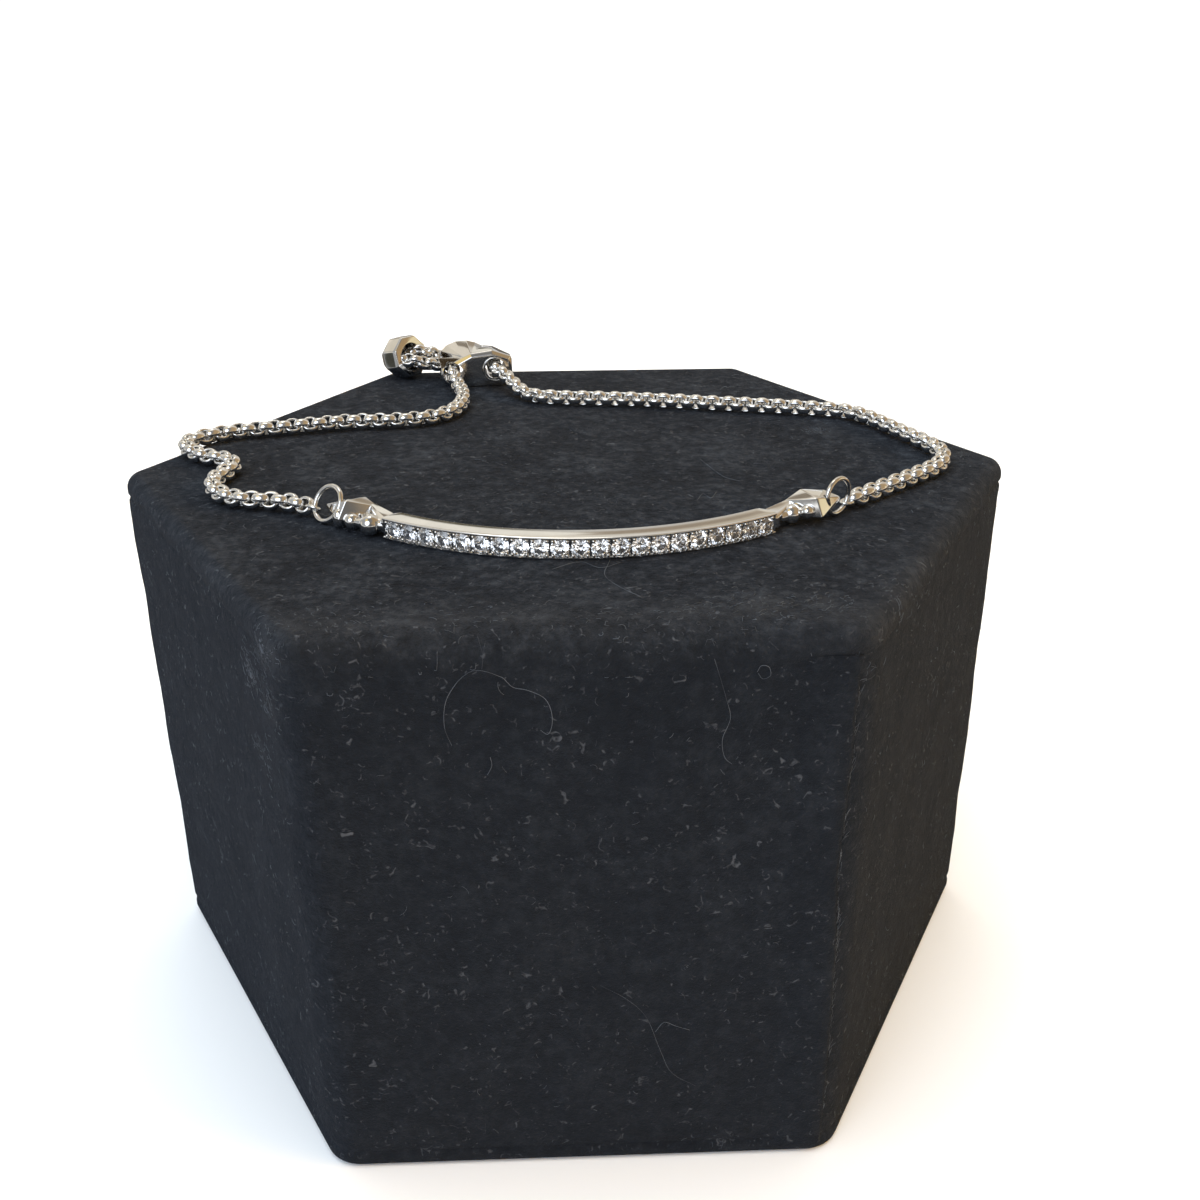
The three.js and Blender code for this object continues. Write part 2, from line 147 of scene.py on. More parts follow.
# a stone's seat: radius, and distance out from the girdle
SEAT_PROFILE = [(0.02, -0.95), (0.3, -0.8), (0.915, 0.0), (0.915, 0.6), (0.02, 0.6)]
PRONG_RADIUS = 0.19
PRONG_LEVEL = 0.40  # from the bar's edge
PRONG_NUDGE = 0.27  # to each side of the gap between two stones
PRONG_SUNK = 0.1

AXIS_HEIGHT = 1.1  # of the connectors' middle line
NECK_RADIUS = 0.55
CORE_RADIUS = 0.45
# corners of the shoulder from the bar's end, and of the faceted stud: out from the bar, across, up
SHOULDER = [
    (-0.3, -0.8, 0.3), (-0.3, -0.8, 1.85), (-0.3, 0.85, 0.3), (-0.3, 0.85, 1.9),
    (0.5, -0.9, 0.5), (0.5, -0.9, 1.6), (2.1, 0.1, 0.5), (2.1, 0.1, 1.8), (3.3, 1.65, 0.5),
    (3.3, 1.65, 2.1), (3.6, 1.0, 2.1),
]
STUD = [
    (2.9, 1.45, 0.45), (2.9, 1.5, 2.05), (4.95, 1.7, 2.8), (4.9, 1.5, 0.55), (4.8, -1.1, 2.75),
    (5.05, -1.8, 0.9), (7.4, 1.15, 2.45), (7.1, 0.95, 0.95), (8.7, 0.1, 1.8), (8.7, 0.1, 1.4),
]

RING_RADIUS = 1.75
RING_WIRE = 0.25
RING_CLEARANCE = 0.15
# The bar's two ends: which way out is, the connector's direction, and the stud's roll and dip, in
# degrees; the beads as out, across, up and radius, of which a third is the eye that the jump ring goes
# through; the ring's middle, direction and lean, and the angle on it at which the chain hangs.
SIDES = {
    "right": {
        "mirror": 1, "angle": 27.9, "roll": 0, "dip": 0,
        "beads": [(2.8, 0.2, 1.1, 0.97), (3.95, -0.75, 1.4, 0.68)],
        "ring": {"out": 8.15, "across": -0.1, "angle": 41.9, "lean": 0, "hold": 35},
    },
    "left": {
        "mirror": -1, "angle": 37.1, "roll": 10, "dip": 5,
        "beads": [(1.55, -1.0, 1.08, 1.05), (3.85, -1.05, 0.95, 0.8), (5.5, -1.1, 0.85, 0.68)],
        "ring": {"out": 7.65, "across": -0.45, "angle": 136, "lean": 32, "hold": 30},
    },
}

# A link's half length and half width, how square its outline is, its section as out and along the
# hole's axis, and the distance from one link to the next
LINK_LONG = 0.78
LINK_WIDE = 0.79
LINK_SQUARE = 2.4
LINK_SECTION = [
    (0.20, 0.0), (0.17, 0.21), (0.09, 0.38), (-0.02, 0.46), (-0.14, 0.44), (-0.18, 0.35),
    (-0.18, -0.35), (-0.14, -0.44), (-0.02, -0.46), (0.09, -0.38), (0.17, -0.21),
]
LINK_PITCH = 1.01
LINK_TWIST = 5  # how far a link may lie turned out of line, in degrees
CHAIN_START = 1.2  # from the jump ring's wire to the first point of the spline
FIRST_LINK = 1.26
LAST_LINK = 0.45  # from the chain's end
# the loop that joins the chain to its jump ring: half its length and width, its wire's radius, and the
# distance from the jump ring's wire to its middle
LOOP_LONG = 0.73
LOOP_WIDE = 0.5
LOOP_WIRE = 0.19
LOOP_AHEAD = 0.24
# the right chain lies turned about its own axis, from a distance along it and over a length
RIGHT_TWIST = 29
TWIST_FROM = 20
TWIST_LENGTH = 14

# The chains' middle lines: x, y, and the height over the velvet where it isn't 1
LEFT_ROUTE = [
    (-27.6, -13.1), (-30.5, -12.3), (-32.5, -12), (-33.9, -11.2), (-35.1, -10.2), (-36.1, -8.7),
    (-36.6, -6.6), (-36.4, -4.6), (-35.9, -3), (-35.7, -1.7), (-36.1, -0.4), (-37, 0.6), (-38.4, 1.4),
    (-39.9, 2.2), (-41.4, 3.7), (-42.4, 5.5), (-42.6, 6.9), (-42.0, 8.2), (-41.0, 9.2), (-39.7, 10.1),
    (-38.2, 10.9), (-36.5, 11.4), (-34.4, 11.9), (-30.1, 13.0), (-25.5, 14.1), (-20.9, 14.3),
    (-18.2, 14.7), (-15.8, 15.7), (-14.2, 17.3), (-13.2, 19.6), (-12.8, 22.7), (-13, 26), (-13.7, 29, 1.1),
    (-14.3, 31, 1.6), (-14.5, 32.2, 1.85), (-14.7, 34.2, 1.9), (-14.75, 35.6, 1.9), (-14.9, 36.55, 1.9),
    (-15.35, 37.25, 1.85), (-16.15, 37.5, 1.85), (-17.1, 37.1, 1.9), (-18.3, 36.3, 2.2),
    (-19.5, 35.8, 2.6), (-20.6, 35.95, 2.85), (-21.5, 36.5, 2.7), (-22.2, 37, 2.5),
]

RIGHT_ROUTE = [
    (28.9, -13.8), (30.4, -12.6), (32.3, -11), (34.2, -9.5), (36.1, -7.8), (37.8, -6.3), (39.3, -4.5),
    (40.2, -2.4), (40.4, 0), (39.9, 2.3), (39.0, 4.6), (38.0, 7.1), (37.0, 9.5), (35.9, 12.1),
    (34.5, 14.4), (32.8, 15.8), (30.6, 16.6), (25, 18.1), (17.7, 19.8), (9.2, 21.8), (4.3, 22.5),
    (-0.7, 23.2), (-3.2, 23.9), (-4.6, 24.8), (-5.7, 26.2, 1.2), (-6.7, 28.2, 1.6), (-7.8, 30.4, 2.1),
    (-8.8, 32, 2.35), (-9.2, 33.4, 2.35), (-9.4, 35.2, 2.35), (-9.7, 37, 2.35), (-10.6, 38.6, 2.3),
    (-12.2, 39.5, 2.2), (-14, 39.75, 2.2), (-15.7, 39.7, 2.3), (-17.1, 39.3, 2.6), (-18.2, 38.6, 3.1),
    (-19.1, 38.1, 3.45), (-19.9, 38.1, 3.5), (-20.6, 38.5, 3.3), (-21.2, 38.95, 3.1),
]

SLIDER_PLACE = (-11.6, 32.36)
SLIDER_TURN = 4.9
# corners of the slider by their depth, as across and height: its front, its widest edge, which ends
# with a notch on top, and its back; and the facets between them, by the corners' numbers
SLIDER_CORNERS = {
    0: [
        (-4.28, 1.2), (-4.24, 2.0), (-0.5, 3.95), (2.15, 4.3), (4.25, 3.6), (4.38, 1.6), (3.5, 0.1),
        (-3.1, 0.1),
    ],
    0.45: [
        (-4.6, 1.1), (-4.45, 2.4), (-0.6, 4.35), (2.2, 4.7), (4.6, 3.85), (4.8, 1.4), (3.6, 0), (-3.3, 0),
        (-1.6, 3.88),
    ],
    4.2: [
        (-4.7, 1.2), (-4.8, 2.95), (-4.45, 3.9), (-3.7, 4.65), (-2.5, 5.15), (-1.0, 5.25), (0.15, 4.95),
        (1.0, 4.5), (2.35, 4.4), (4.7, 3.2), (4.95, 2.6), (4.8, 1.4), (3.6, 0), (-3.4, 0),
    ],
}
SLIDER_FACETS = [
    (1, 9, 16, 10, 2), (9, 18, 16), (16, 18, 19), (16, 19, 20), (16, 20, 21), (16, 21, 22, 10),
    (10, 22, 23), (10, 23, 24, 11), (11, 24, 25), (11, 25, 26, 12), (12, 26, 27, 13), (13, 27, 28),
    (13, 28, 29, 14), (14, 29, 30, 15), (15, 30, 17, 8), (8, 17, 18, 9),
]
SLIDER_MOUTH = (2.5, 2.3)
# the raised lip round that mouth: depth, radius
COLLAR_PROFILE = [(0.3, 1.62), (-0.06, 1.62), (-0.14, 1.57), (-0.16, 1.5), (-0.1, 1.42), (0.3, 1.4)]
CHANNEL_RADIUS = 1.35  # of the slider's channels for the chains
CHANNEL_Y = (29, 35.6)  # where the chains enter the slider and leave it
CHANNEL_STEP = 0.5
CHANNEL_END = 3  # how far each channel runs on behind the slider

CAP_PLACE = (-20.3, 36.95, 3.1)
CAP_TURN = 138
CAP_DROOP = 12
CAP_SIDES = 8
CAP_BORE = 1.78
CAP_BORE_DEPTH = 2.9
# distance from the mouth, and distance from the middle to a flat
CAP_PROFILE = [(0, 2.55), (0.5, 2.65), (2.6, 2.6), (4.2, 1.6)]


# -------- helpers
def unit(v):
    v = np.asarray(v, float)
    return v / np.linalg.norm(v)


def circle(count, offset=0):
    """The cosines and sines of evenly spaced angles."""
    turns = [2 * pi * (i + offset) / count for i in range(count)]
    return [(cos(turn), sin(turn)) for turn in turns]


def in_scene(name, data):
    obj = bpy.data.objects.new(name, data)
    bpy.context.scene.collection.objects.link(obj)
    return obj


def new_mesh(name, verts, faces, weld=False):
    """A mesh from millimetre coordinates, with its faces turned outwards."""
    mesh = bpy.data.meshes.new(name)
    mesh.from_pydata([tuple(MM * c for c in v) for v in verts], [], faces)
    if not weld:
        mesh.validate()
    bm = bmesh.new()
    bm.from_mesh(mesh)
    if weld:
        bmesh.ops.remove_doubles(bm, verts=bm.verts, dist=1e-7)
    bmesh.ops.recalc_face_normals(bm, faces=bm.faces)
    bm.to_mesh(mesh)
    bm.free()
    return mesh


def dressed(name, mesh, material, smooth=True):
    """A piece of the part, from its mesh."""
    mesh.polygons.foreach_set("use_smooth", [smooth] * len(mesh.polygons))
    mesh.materials.clear()
    mesh.materials.append(material)
    piece = in_scene(name, mesh)
    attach(piece, "root")
    return piece


def mesh_piece(name, verts, faces, material, slot="polished_silver"):
    """A piece of the part, from millimetre coordinates."""
    return dressed(name, new_mesh(name, verts, faces), material)


def keep_edges(piece, degrees):
    """Keeps the edges that are sharper than an angle sharp in smooth shading."""
    bm = bmesh.new()
    bm.from_mesh(piece.data)
    for edge in bm.edges:
        if len(edge.link_faces) == 2:
            edge.smooth = edge.calc_face_angle(0) < rad(degrees)
    bm.to_mesh(piece.data)
    bm.free()


def rounded_hull(name, corners, width, segments, matrix=Matrix()):
    """A working object: a convex hull with rounded edges."""
    mesh = hull_mesh(name, corners)
    mesh.transform(matrix)
    obj = in_scene(name, mesh)
    bevel(obj, width, segments)
    return obj


def finished(obj, name, degrees):
    """Makes a silver piece of a working object."""
    mesh = obj.data
    bpy.data.objects.remove(obj)
    piece = dressed(name, mesh, SILVER)
    keep_edges(piece, degrees)
    return piece


def loose(name, verts, faces):
    """A working object, outside the part."""
    return in_scene(name, new_mesh(name, verts, faces, weld=True))


def apply_modifiers(obj):
    """Bakes an object's modifiers into its mesh."""
    graph = bpy.context.evaluated_depsgraph_get()
    done = bpy.data.meshes.new_from_object(obj.evaluated_get(graph))
    obj.modifiers.clear()
    obj.data = done


def bevel(obj, width, segments, angle=12):
    """Rounds the edges that are sharper than an angle."""
    mod = obj.modifiers.new("bevel", "BEVEL")
    mod.width = width * MM
    mod.segments = segments
    mod.limit_method = "ANGLE"
    mod.angle_limit = rad(angle)
    apply_modifiers(obj)


def cut(obj, name, verts, faces, matrix=None):
    """Cuts a closed shape out of an object."""
    cutter = loose(name, verts, faces)
    if matrix:
        cutter.data.transform(matrix)
    mod = obj.modifiers.new("cut", "BOOLEAN")
    mod.operation = "DIFFERENCE"
    mod.solver = "EXACT"
    mod.object = cutter
    apply_modifiers(obj)
    bpy.data.objects.remove(cutter)


def hull_mesh(name, corners):
    """A mesh of the convex hull of millimetre corners."""
    bm = bmesh.new()
    for corner in corners:
        bm.verts.new(Vector(corner) * MM)
    done = bmesh.ops.convex_hull(bm, input=bm.verts)
    spare = {g for g in done["geom_interior"] + done["geom_unused"] if isinstance(g, bmesh.types.BMVert)}
    bmesh.ops.delete(bm, geom=list(spare), context="VERTS")
    bmesh.ops.dissolve_limit(bm, angle_limit=rad(2), verts=bm.verts, edges=bm.edges)
    bmesh.ops.recalc_face_normals(bm, faces=bm.faces)
    mesh = bpy.data.meshes.new(name)
    bm.to_mesh(mesh)
    bm.free()
    return mesh


def loft(rings, caps=False):
    """Vertices and quads through closed rings of equal length."""
    count = len(rings[0])
    verts = [tuple(p) for ring in rings for p in ring]
    faces = []
    for level in range(len(rings) - 1):
        for i in range(count):
            a = level * count + i
            b = level * count + (i + 1) % count
            faces.append((a, b, b + count, a + count))
    if caps:
        last = (len(rings) - 1) * count
        faces.append(tuple(reversed(range(count))))
        faces.append(tuple(range(last, last + count)))
    return verts, faces


def closed_loft(rings):
    """A loft whose last ring goes on into its first."""
    size = len(rings) * len(rings[0])
    verts, faces = loft([*rings, rings[0]])
    return verts[:size], [tuple(i % size for i in face) for face in faces]


def join(parts):
    """One list of vertices and faces from several."""
    verts, faces = [], []
    for part_verts, part_faces in parts:
        base = len(verts)
        verts.extend(part_verts)
        faces.extend(tuple(base + i for i in face) for face in part_faces)
    return verts, faces


def sphere(centre, radius, around, rings, stretch=None):
    """A UV sphere; stretch is a direction and a factor along it."""
    levels = []
    for ring in range(rings + 1):
        polar = pi * ring / rings
        level = radius * np.array([
            (sin(polar) * c, sin(polar) * s, cos(polar)) for c, s in circle(around)
        ])
        if stretch:
            way = unit(stretch[0])
            level += np.outer(level @ way, way) * (stretch[1] - 1)
        levels.append(level + centre)
    return loft(levels)


def tube(points, radius, sides, closed=False):
    """A round tube along points; the radius is one number or one for each point."""
    points = [np.asarray(p, float) for p in points]
    count = len(points)
    rings = []
    side = None
    for i, p in enumerate(points):
        before = points[(i - 1) % count] if closed or i else points[0]
        after = points[(i + 1) % count] if closed or i < count - 1 else points[-1]
        way = unit(after - before)
        if side is None:
            side = np.cross(way, (0, 0, 1) if abs(way[2]) < 0.9 else (1, 0, 0))
        side = unit(side - way * (side @ way))
        up = np.cross(side, way)
        r = radius[i] if hasattr(radius, "__len__") else radius
        rings.append([p + r * (side * c + up * s) for c, s in circle(sides)])
    return closed_loft(rings) if closed else loft(rings, caps=True)


def spline(points, per_span=24):
    """Centripetal Catmull-Rom through points."""
    points = [np.asarray(p, float) for p in points]
    points = [2 * points[0] - points[1], *points, 2 * points[-1] - points[-2]]
    curve = []
    for i in range(1, len(points) - 2):
        p0, p1, p2, p3 = points[i - 1:i + 3]
        d0, d1, d2 = (max(np.linalg.norm(b - a), 1e-4) ** 0.5 for a, b in ((p0, p1), (p1, p2), (p2, p3)))
        m1 = ((p1 - p0) / d0 - (p2 - p0) / (d0 + d1) + (p2 - p1) / d1) * d1
        m2 = ((p2 - p1) / d1 - (p3 - p1) / (d1 + d2) + (p3 - p2) / d2) * d1
        c2 = -3 * p1 + 3 * p2 - 2 * m1 - m2
        c3 = 2 * p1 - 2 * p2 + m1 + m2
        for step in range(per_span):
            t = step / per_span
            curve.append(p1 + m1 * t + c2 * t * t + c3 * t * t * t)
    curve.append(points[-2])
    return np.array(curve)


# -------- materials
class Tree:
    """A material's or a world's node tree, with short ways to fill it."""

    def __init__(self, owner):
        owner.use_nodes = True
        self.nodes = owner.node_tree.nodes
        self.links = owner.node_tree.links

    def feed(self, node, numbered=(), **values):
        """Gives a node's inputs their values or other nodes' outputs, and sets its other settings."""
        for key, value in [*enumerate(numbered), *values.items()]:
            socket = node.inputs[key] if key in range(9) else node.inputs.get(key.replace("_", " "))
            if socket is None:
                setattr(node, key, value)
            elif isinstance(value, bpy.types.NodeSocket):
                self.links.new(value, socket)
            else:
                socket.default_value = value

    def add(self, kind, output, numbered=(), **values):
        """An output of a new node."""
        node = self.nodes.new("ShaderNode" + kind)
        self.feed(node, numbered, **values)
        return node.outputs[output]

    def ramp(self, value, stops):
        """A colour that follows a value through places on a ramp."""
        colour = self.add("ValToRGB", "Color", Fac=value)
        elements = colour.node.color_ramp.elements
        while len(elements) > 1:
            elements.remove(elements[-1])
        elements[0].position, elements[0].color = stops[0][0], (*stops[0][1], 1)
        for place, tint in stops[1:]:
            elements.new(place).color = (*tint, 1)
        return colour


def new_material(name):
    material = bpy.data.materials.new(name)
    tree = Tree(material)
    return material, tree, tree.nodes["Principled BSDF"], tree.add("TexCoord", "Object")


def cloudy_material(name, scale, detail, stops, target="Base_Color", **values):
    """A material whose colour changes softly from place to place."""
    material, tree, shader, place = new_material(name)
    cloud = tree.add("TexNoise", "Fac", Vector=place, Scale=scale, Detail=detail)
    tree.feed(shader, **{target: tree.ramp(cloud, stops)}, **values)
    return material


def metal_material(name, dark, light, roughness, bump):
    """Polished metal: slight tone and roughness changes, and the faint ripple of hand polishing."""
    material, tree, shader, place = new_material(name)
    cloud = tree.add("TexNoise", "Fac", Vector=place, Scale=315.0, Detail=3.0)
    fine = tree.add("TexNoise", "Fac", Vector=place, Scale=900.0, Detail=4.0)
    tree.feed(
        shader, Metallic=1.0, Base_Color=tree.ramp(cloud, [(0.3, dark), (0.7, light)]),
        Roughness=tree.add("MapRange", "Result", Value=fine, To_Min=roughness[0], To_Max=roughness[1]),
        Normal=tree.add("Bump", "Normal", Strength=bump, Distance=0.0002, Height=cloud))
    return material


def velvet_material():
    """Black velvet: a brushed, cloudy nap with fine fibre grain, lint specks and a soft sheen."""
    material, tree, shader, place = new_material("black_velvet")
    cloud = tree.add("TexNoise", "Fac", Vector=place, Scale=150.0, Detail=6.0, Roughness=0.75)
    tuft = tree.add("TexNoise", "Fac", Vector=place, Scale=850.0, Detail=5.0, Roughness=0.75)
    fibre = tree.add("TexNoise", "Fac", Vector=place, Scale=2600.0, Detail=4.0, Roughness=0.8)
    lint = tree.add(
        "TexNoise", "Fac", Vector=place, Scale=1100.0, Detail=2.0, Roughness=0.5, Distortion=1.5)
    blend = tree.add("MixRGB", "Color", Fac=0.62, Color1=cloud, Color2=tuft)
    # the top is handled and ruffled, the sides are smoother
    facing = tree.add("SeparateXYZ", "Z", Vector=place.node.outputs["Normal"])
    ruffled = tree.add("MapRange", "Result", Value=facing, To_Min=0.32)
    even = tree.add("MixRGB", "Color", Fac=ruffled, Color1=(0.5, 0.5, 0.5, 1), Color2=blend)
    tone = tree.ramp(even, [
        (0.37, (0.0042, 0.0052, 0.0072)), (0.5, (0.0120, 0.0144, 0.0186)),
        (0.64, (0.0370, 0.0420, 0.0500)),
    ])
    # lighter where the nap is rubbed, and painted sheen in the bands along the rims
    worn_and_sheen = tree.add("Attribute", "Fac", attribute_name="wear_and_sheen")
    wear_and_sheen_mask = tree.add("Math", "Value", (worn_and_sheen, tuft), operation="MULTIPLY")
    # the rubbed nap's colour, which along the rims also paints sheen
    rubbed_and_sheen = tree.add("MixRGB", "Color", Fac=wear_and_sheen_mask, Color1=tone, Color2=(0.047, 0.049, 0.053, 1))
    specks = tree.ramp(lint, [(0.64, (0, 0, 0)), (0.78, (1, 1, 1))])
    mixed = tree.add("MixRGB", "Color", Fac=specks, Color1=rubbed_and_sheen, Color2=(0.085, 0.09, 0.10, 1))
    lumps = tree.add("Bump", "Normal", Strength=0.6, Distance=0.0012, Height=cloud)
    pile = tree.add("Bump", "Normal", Strength=0.8, Distance=0.0004, Height=fibre, Normal=lumps)
    tree.feed(
        shader, Base_Color=mixed, Normal=pile, Roughness=0.95, Specular_IOR_Level=0.1,
        Sheen_Weight=0.03, Sheen_Roughness=0.5, Sheen_Tint=(0.75, 0.82, 1.0, 1))
    return material


SILVER = metal_material("polished_silver", (0.80, 0.79, 0.77), (0.90, 0.89, 0.87), (0.05, 0.14), 0.02)
CHAIN_METAL = metal_material("chain_silver", (0.90, 0.90, 0.89), (1.0, 1.0, 0.99), (0.12, 0.24), 0.04)
# Clear cut stone with a slight cloud of tint. A little light scatters in it, so its dark facets are grey.
CRYSTAL = cloudy_material(
    "clear_stone", 700.0, 2.0, [(0.35, (0.93, 0.95, 1.0)), (0.65, (1.0, 0.99, 0.97))],
    Roughness=0.0, IOR=2.15, Transmission_Weight=0.93)
VELVET = velvet_material()
LINT = cloudy_material(
    "lint", 400.0, 2.0, [(0.3, (0.03, 0.037, 0.050)), (0.7, (0.15, 0.168, 0.195))], Roughness=0.8)


# -------- display stand
def compass(degrees):
    """A level direction, in degrees from +X."""
    return np.array([cos(rad(degrees)), sin(rad(degrees))])


def stand_outline(per_side=26, per_corner=8):
    """Points round the block with their outward normals and the distance to the nearest corner."""
    radii = [FRONT_CORNER if side in (4, 5) else STAND_CORNER for side in range(6)]
    reaches = [(APOTHEM - radius) / cos(rad(30)) for radius in radii]
    points = []
    for side in range(6):
        after = (side + 1) % 6
        here = reaches[side] * compass(60 * side)
        there = reaches[after] * compass(60 * side + 60)
        for step in range(per_corner):
            normal = compass(60 * side - 30 + 60 * step / per_corner)
            points.append((here + radii[side] * normal, normal, 0.0))
        normal = compass(60 * side + 30)
        a = here + radii[side] * normal
        b = there + radii[after] * normal
        length = np.linalg.norm(b - a)
        for step in range(per_side):
            t = step / per_side
            points.append((a + (b - a) * t, normal, length * min(t, 1 - t)))
    return points


def smooth(low, high, value):
    """Rises from 0 at low to 1 at high."""
    t = min(max((value - low) / (high - low), 0.0), 1.0)
    return t * t * (3 - 2 * t)


def velvet_cover():
    """The velvet over the whole block, with a crease near its foot and a seam under its rim."""
    outline = stand_outline()
    front = [max(0.0, -normal[1] - 0.9) / 0.1 * smooth(0.5, 8, away) for _, normal, away in outline]
    rim = [RIM_RADIUS + FRONT_RIM * share for share in front]
    pinch = [SEAM_DEPTH + SIDE_SEAM_DEPTH * exp(-(p[1] / 4.0) ** 2) for p, _, _ in outline]
    rings = [[(p[0] * share, p[1] * share, 0.05) for p, _, _ in outline] for share in (0.25, 0.6, 0.9)]

    def level(insets, heights):
        """Adds a ring from its insets and heights, each a number or one for each point."""
        insets, heights = (v if isinstance(v, list) else [v] * len(outline) for v in (insets, heights))
        rings.append([
            (p[0] - n[0] * i, p[1] - n[1] * i, z)
            for (p, n, _), i, z in zip(outline, insets, heights)
        ])

    for degrees in (0, 30, 60, 90):
        c, s = compass(degrees)
        level(FOOT_RADIUS * (1 - s), FOOT_RADIUS * (1 - c))
    for height in (1.3, 1.7, 2.0, 2.3, 2.7, 3.2, PLAIN_FROM):
        level(CREASE_DEPTH * exp(-((height - CREASE_HEIGHT) / CREASE_WIDTH) ** 2), height)
    for step in range(1, 40):
        level(0.0, PLAIN_FROM + step * (PLAIN_TO - PLAIN_FROM) / 40)
    seam = [REST - r - SEAM_DROP for r in rim]
    for step in range(8):
        level(0.0, [PLAIN_TO + (s - 0.7 - PLAIN_TO) * step / 8 for s in seam])
    for offset in (-0.7, -0.45, -0.25, -0.1, 0.0, 0.1, 0.25, 0.45):
        depth = exp(-(offset / SEAM_WIDTH) ** 2)
        level([depth * p for p in pinch], [s + offset for s in seam])
    for degrees in range(0, 91, 9):
        c, s = compass(degrees)
        level([r * (1 - c) for r in rim], [REST - r * (1 - s) for r in rim])
    edge = rings[-1]
    for share in [0.985, 0.965, 0.94] + [0.91 - 0.035 * k for k in range(26)]:
        rings.append([(x * share, y * share, REST) for x, y, _ in edge])
    verts, faces = loft(rings, caps=True)
    shaped = []
    for x, y, z in verts:
        out = Vector((x, y, 0)).normalized()
        sway = noise.noise(Vector((x, y, z)) * 0.11) * 0.22 + noise.noise(Vector((x, y, z)) * 0.45) * 0.06
        hold = smooth(0.5, 4.0, z) * (1 - smooth(REST - 0.6, REST, z))
        x, y = x + out.x * sway * hold, y + out.y * sway * hold
        if z > REST - 0.01:
            z -= 0.03 + 0.03 * noise.noise(Vector((x, y, 3.0)) * 0.3)
        shaped.append((x, y, z))
    cover = mesh_piece("velvet_cover", shaped, faces, VELVET, slot="black_velvet")
    # how rubbed the nap is, with painted sheen along the rims, kept on the vertices
    rubbed_and_sheen = cover.data.attributes.new("wear_and_sheen", "FLOAT", "POINT")
    rubbed_and_sheen.data.foreach_set("value", [wear_and_sheen_at(p) for p in shaped])
    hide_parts("display_stand")
    return cover


def wear_and_sheen_at(point):
    """How light the nap is painted: rubbed nap with painted sheen in bands along the rims, and rubbed nap in
    a few patches of the front rim and the top.
    """
    x, y, z = point
    worn_and_sheen = 0.0
    for side in range(6):
        c, s = compass(60 * side + 30)
        inside = APOTHEM - (x * c + y * s)
        middle, width, strength = FRONT_RUB_AND_SHEEN if side == FRONT_SIDE else SIDE_RUB_AND_SHEEN
        along = noise.noise(Vector((x, y, 7.0 * side)) * 0.16) * 0.5 + 0.62
        # the band along the rim: rubbed nap and painted sheen
        rim_rub_and_sheen = exp(-((inside - middle) / width) ** 2)
        rim_rub_and_sheen *= exp(-((REST - z) / RUB_AND_SHEEN_DEPTH) ** 2)
        worn_and_sheen = max(worn_and_sheen, rim_rub_and_sheen * along * strength)
    for px, py, pz, size, force in WORN_PATCHES:
        away = ((x - px) ** 2 + (y - py) ** 2 + (z - pz) ** 2) / size ** 2
        worn_and_sheen = max(worn_and_sheen, force * exp(-away))
    return worn_and_sheen


COVER = velvet_cover()


def on_velvet(point, lift):
    """The nearest place on the velvet, raised by lift."""
    _, place, normal, _ = COVER.closest_point_on_mesh(Vector(point) * MM)
    return np.array(place) / MM + np.array(normal) * lift


def lap_across(height):
    """Where the lap's edge is at a height."""
    return np.interp(height, [z for _, z in LAP_LINE][::-1], [x for x, _ in LAP_LINE][::-1])


def velvet_lap():
    """The edge of the front panel's velvet, lapped over the block's front right corner."""
    heights = np.linspace(1.4, 55.0, 80)
    rings = []
    for x, z in zip(lap_across(heights), heights):
        wave = 0.12 * noise.noise(Vector((0, 0, z * 0.5)))
        rings.append([on_velvet((x + wave + dx, -APOTHEM, z), lift) for dx, lift in LAP_SECTION])
    mesh_piece("velvet_lap", *loft(rings, caps=True), VELVET, slot="black_velvet")


def stand_sites(count):
    """Random places on the block's faces with two directions along each."""
    ways = [compass(60 * k + 30) for k in range(6)]
    sites = []
    while len(sites) < count:
        if random.random() < TOP_LINT:
            x, y = random.uniform(-46, 46), random.uniform(-41, 41)
            if all(x * c + y * s < APOTHEM - 0.6 for c, s in ways):
                sites.append((np.array([x, y, REST]), np.array([1.0, 0, 0]), np.array([0, 1.0, 0])))
            continue
        c, s = ways[random.randrange(6)]
        side = np.array([-s, c, 0])
        place = np.array([c, s, 0]) * APOTHEM + side * random.uniform(-23, 23)
        place[2] = random.uniform(1, 56)
        sites.append((place, side, UP))
    return sites


def fibre(place, u, v, length, heading, curl, radius, steps=5):
    """One fibre on the velvet from a place, along u and v, bending steadily."""
    p = np.array(place, float)
    points = []
    for k in range(steps):
        points.append(on_velvet(p, 0.03 + 0.05 * sin(pi * k / (steps - 1))))
        p = p + (u * cos(heading) + v * sin(heading)) * length / (steps - 1)
        heading += curl / steps
    if min(np.linalg.norm(b - a) for a, b in zip(points, points[1:])) < 1e-3:
        return []
    return [tube(points, radius, 3)]


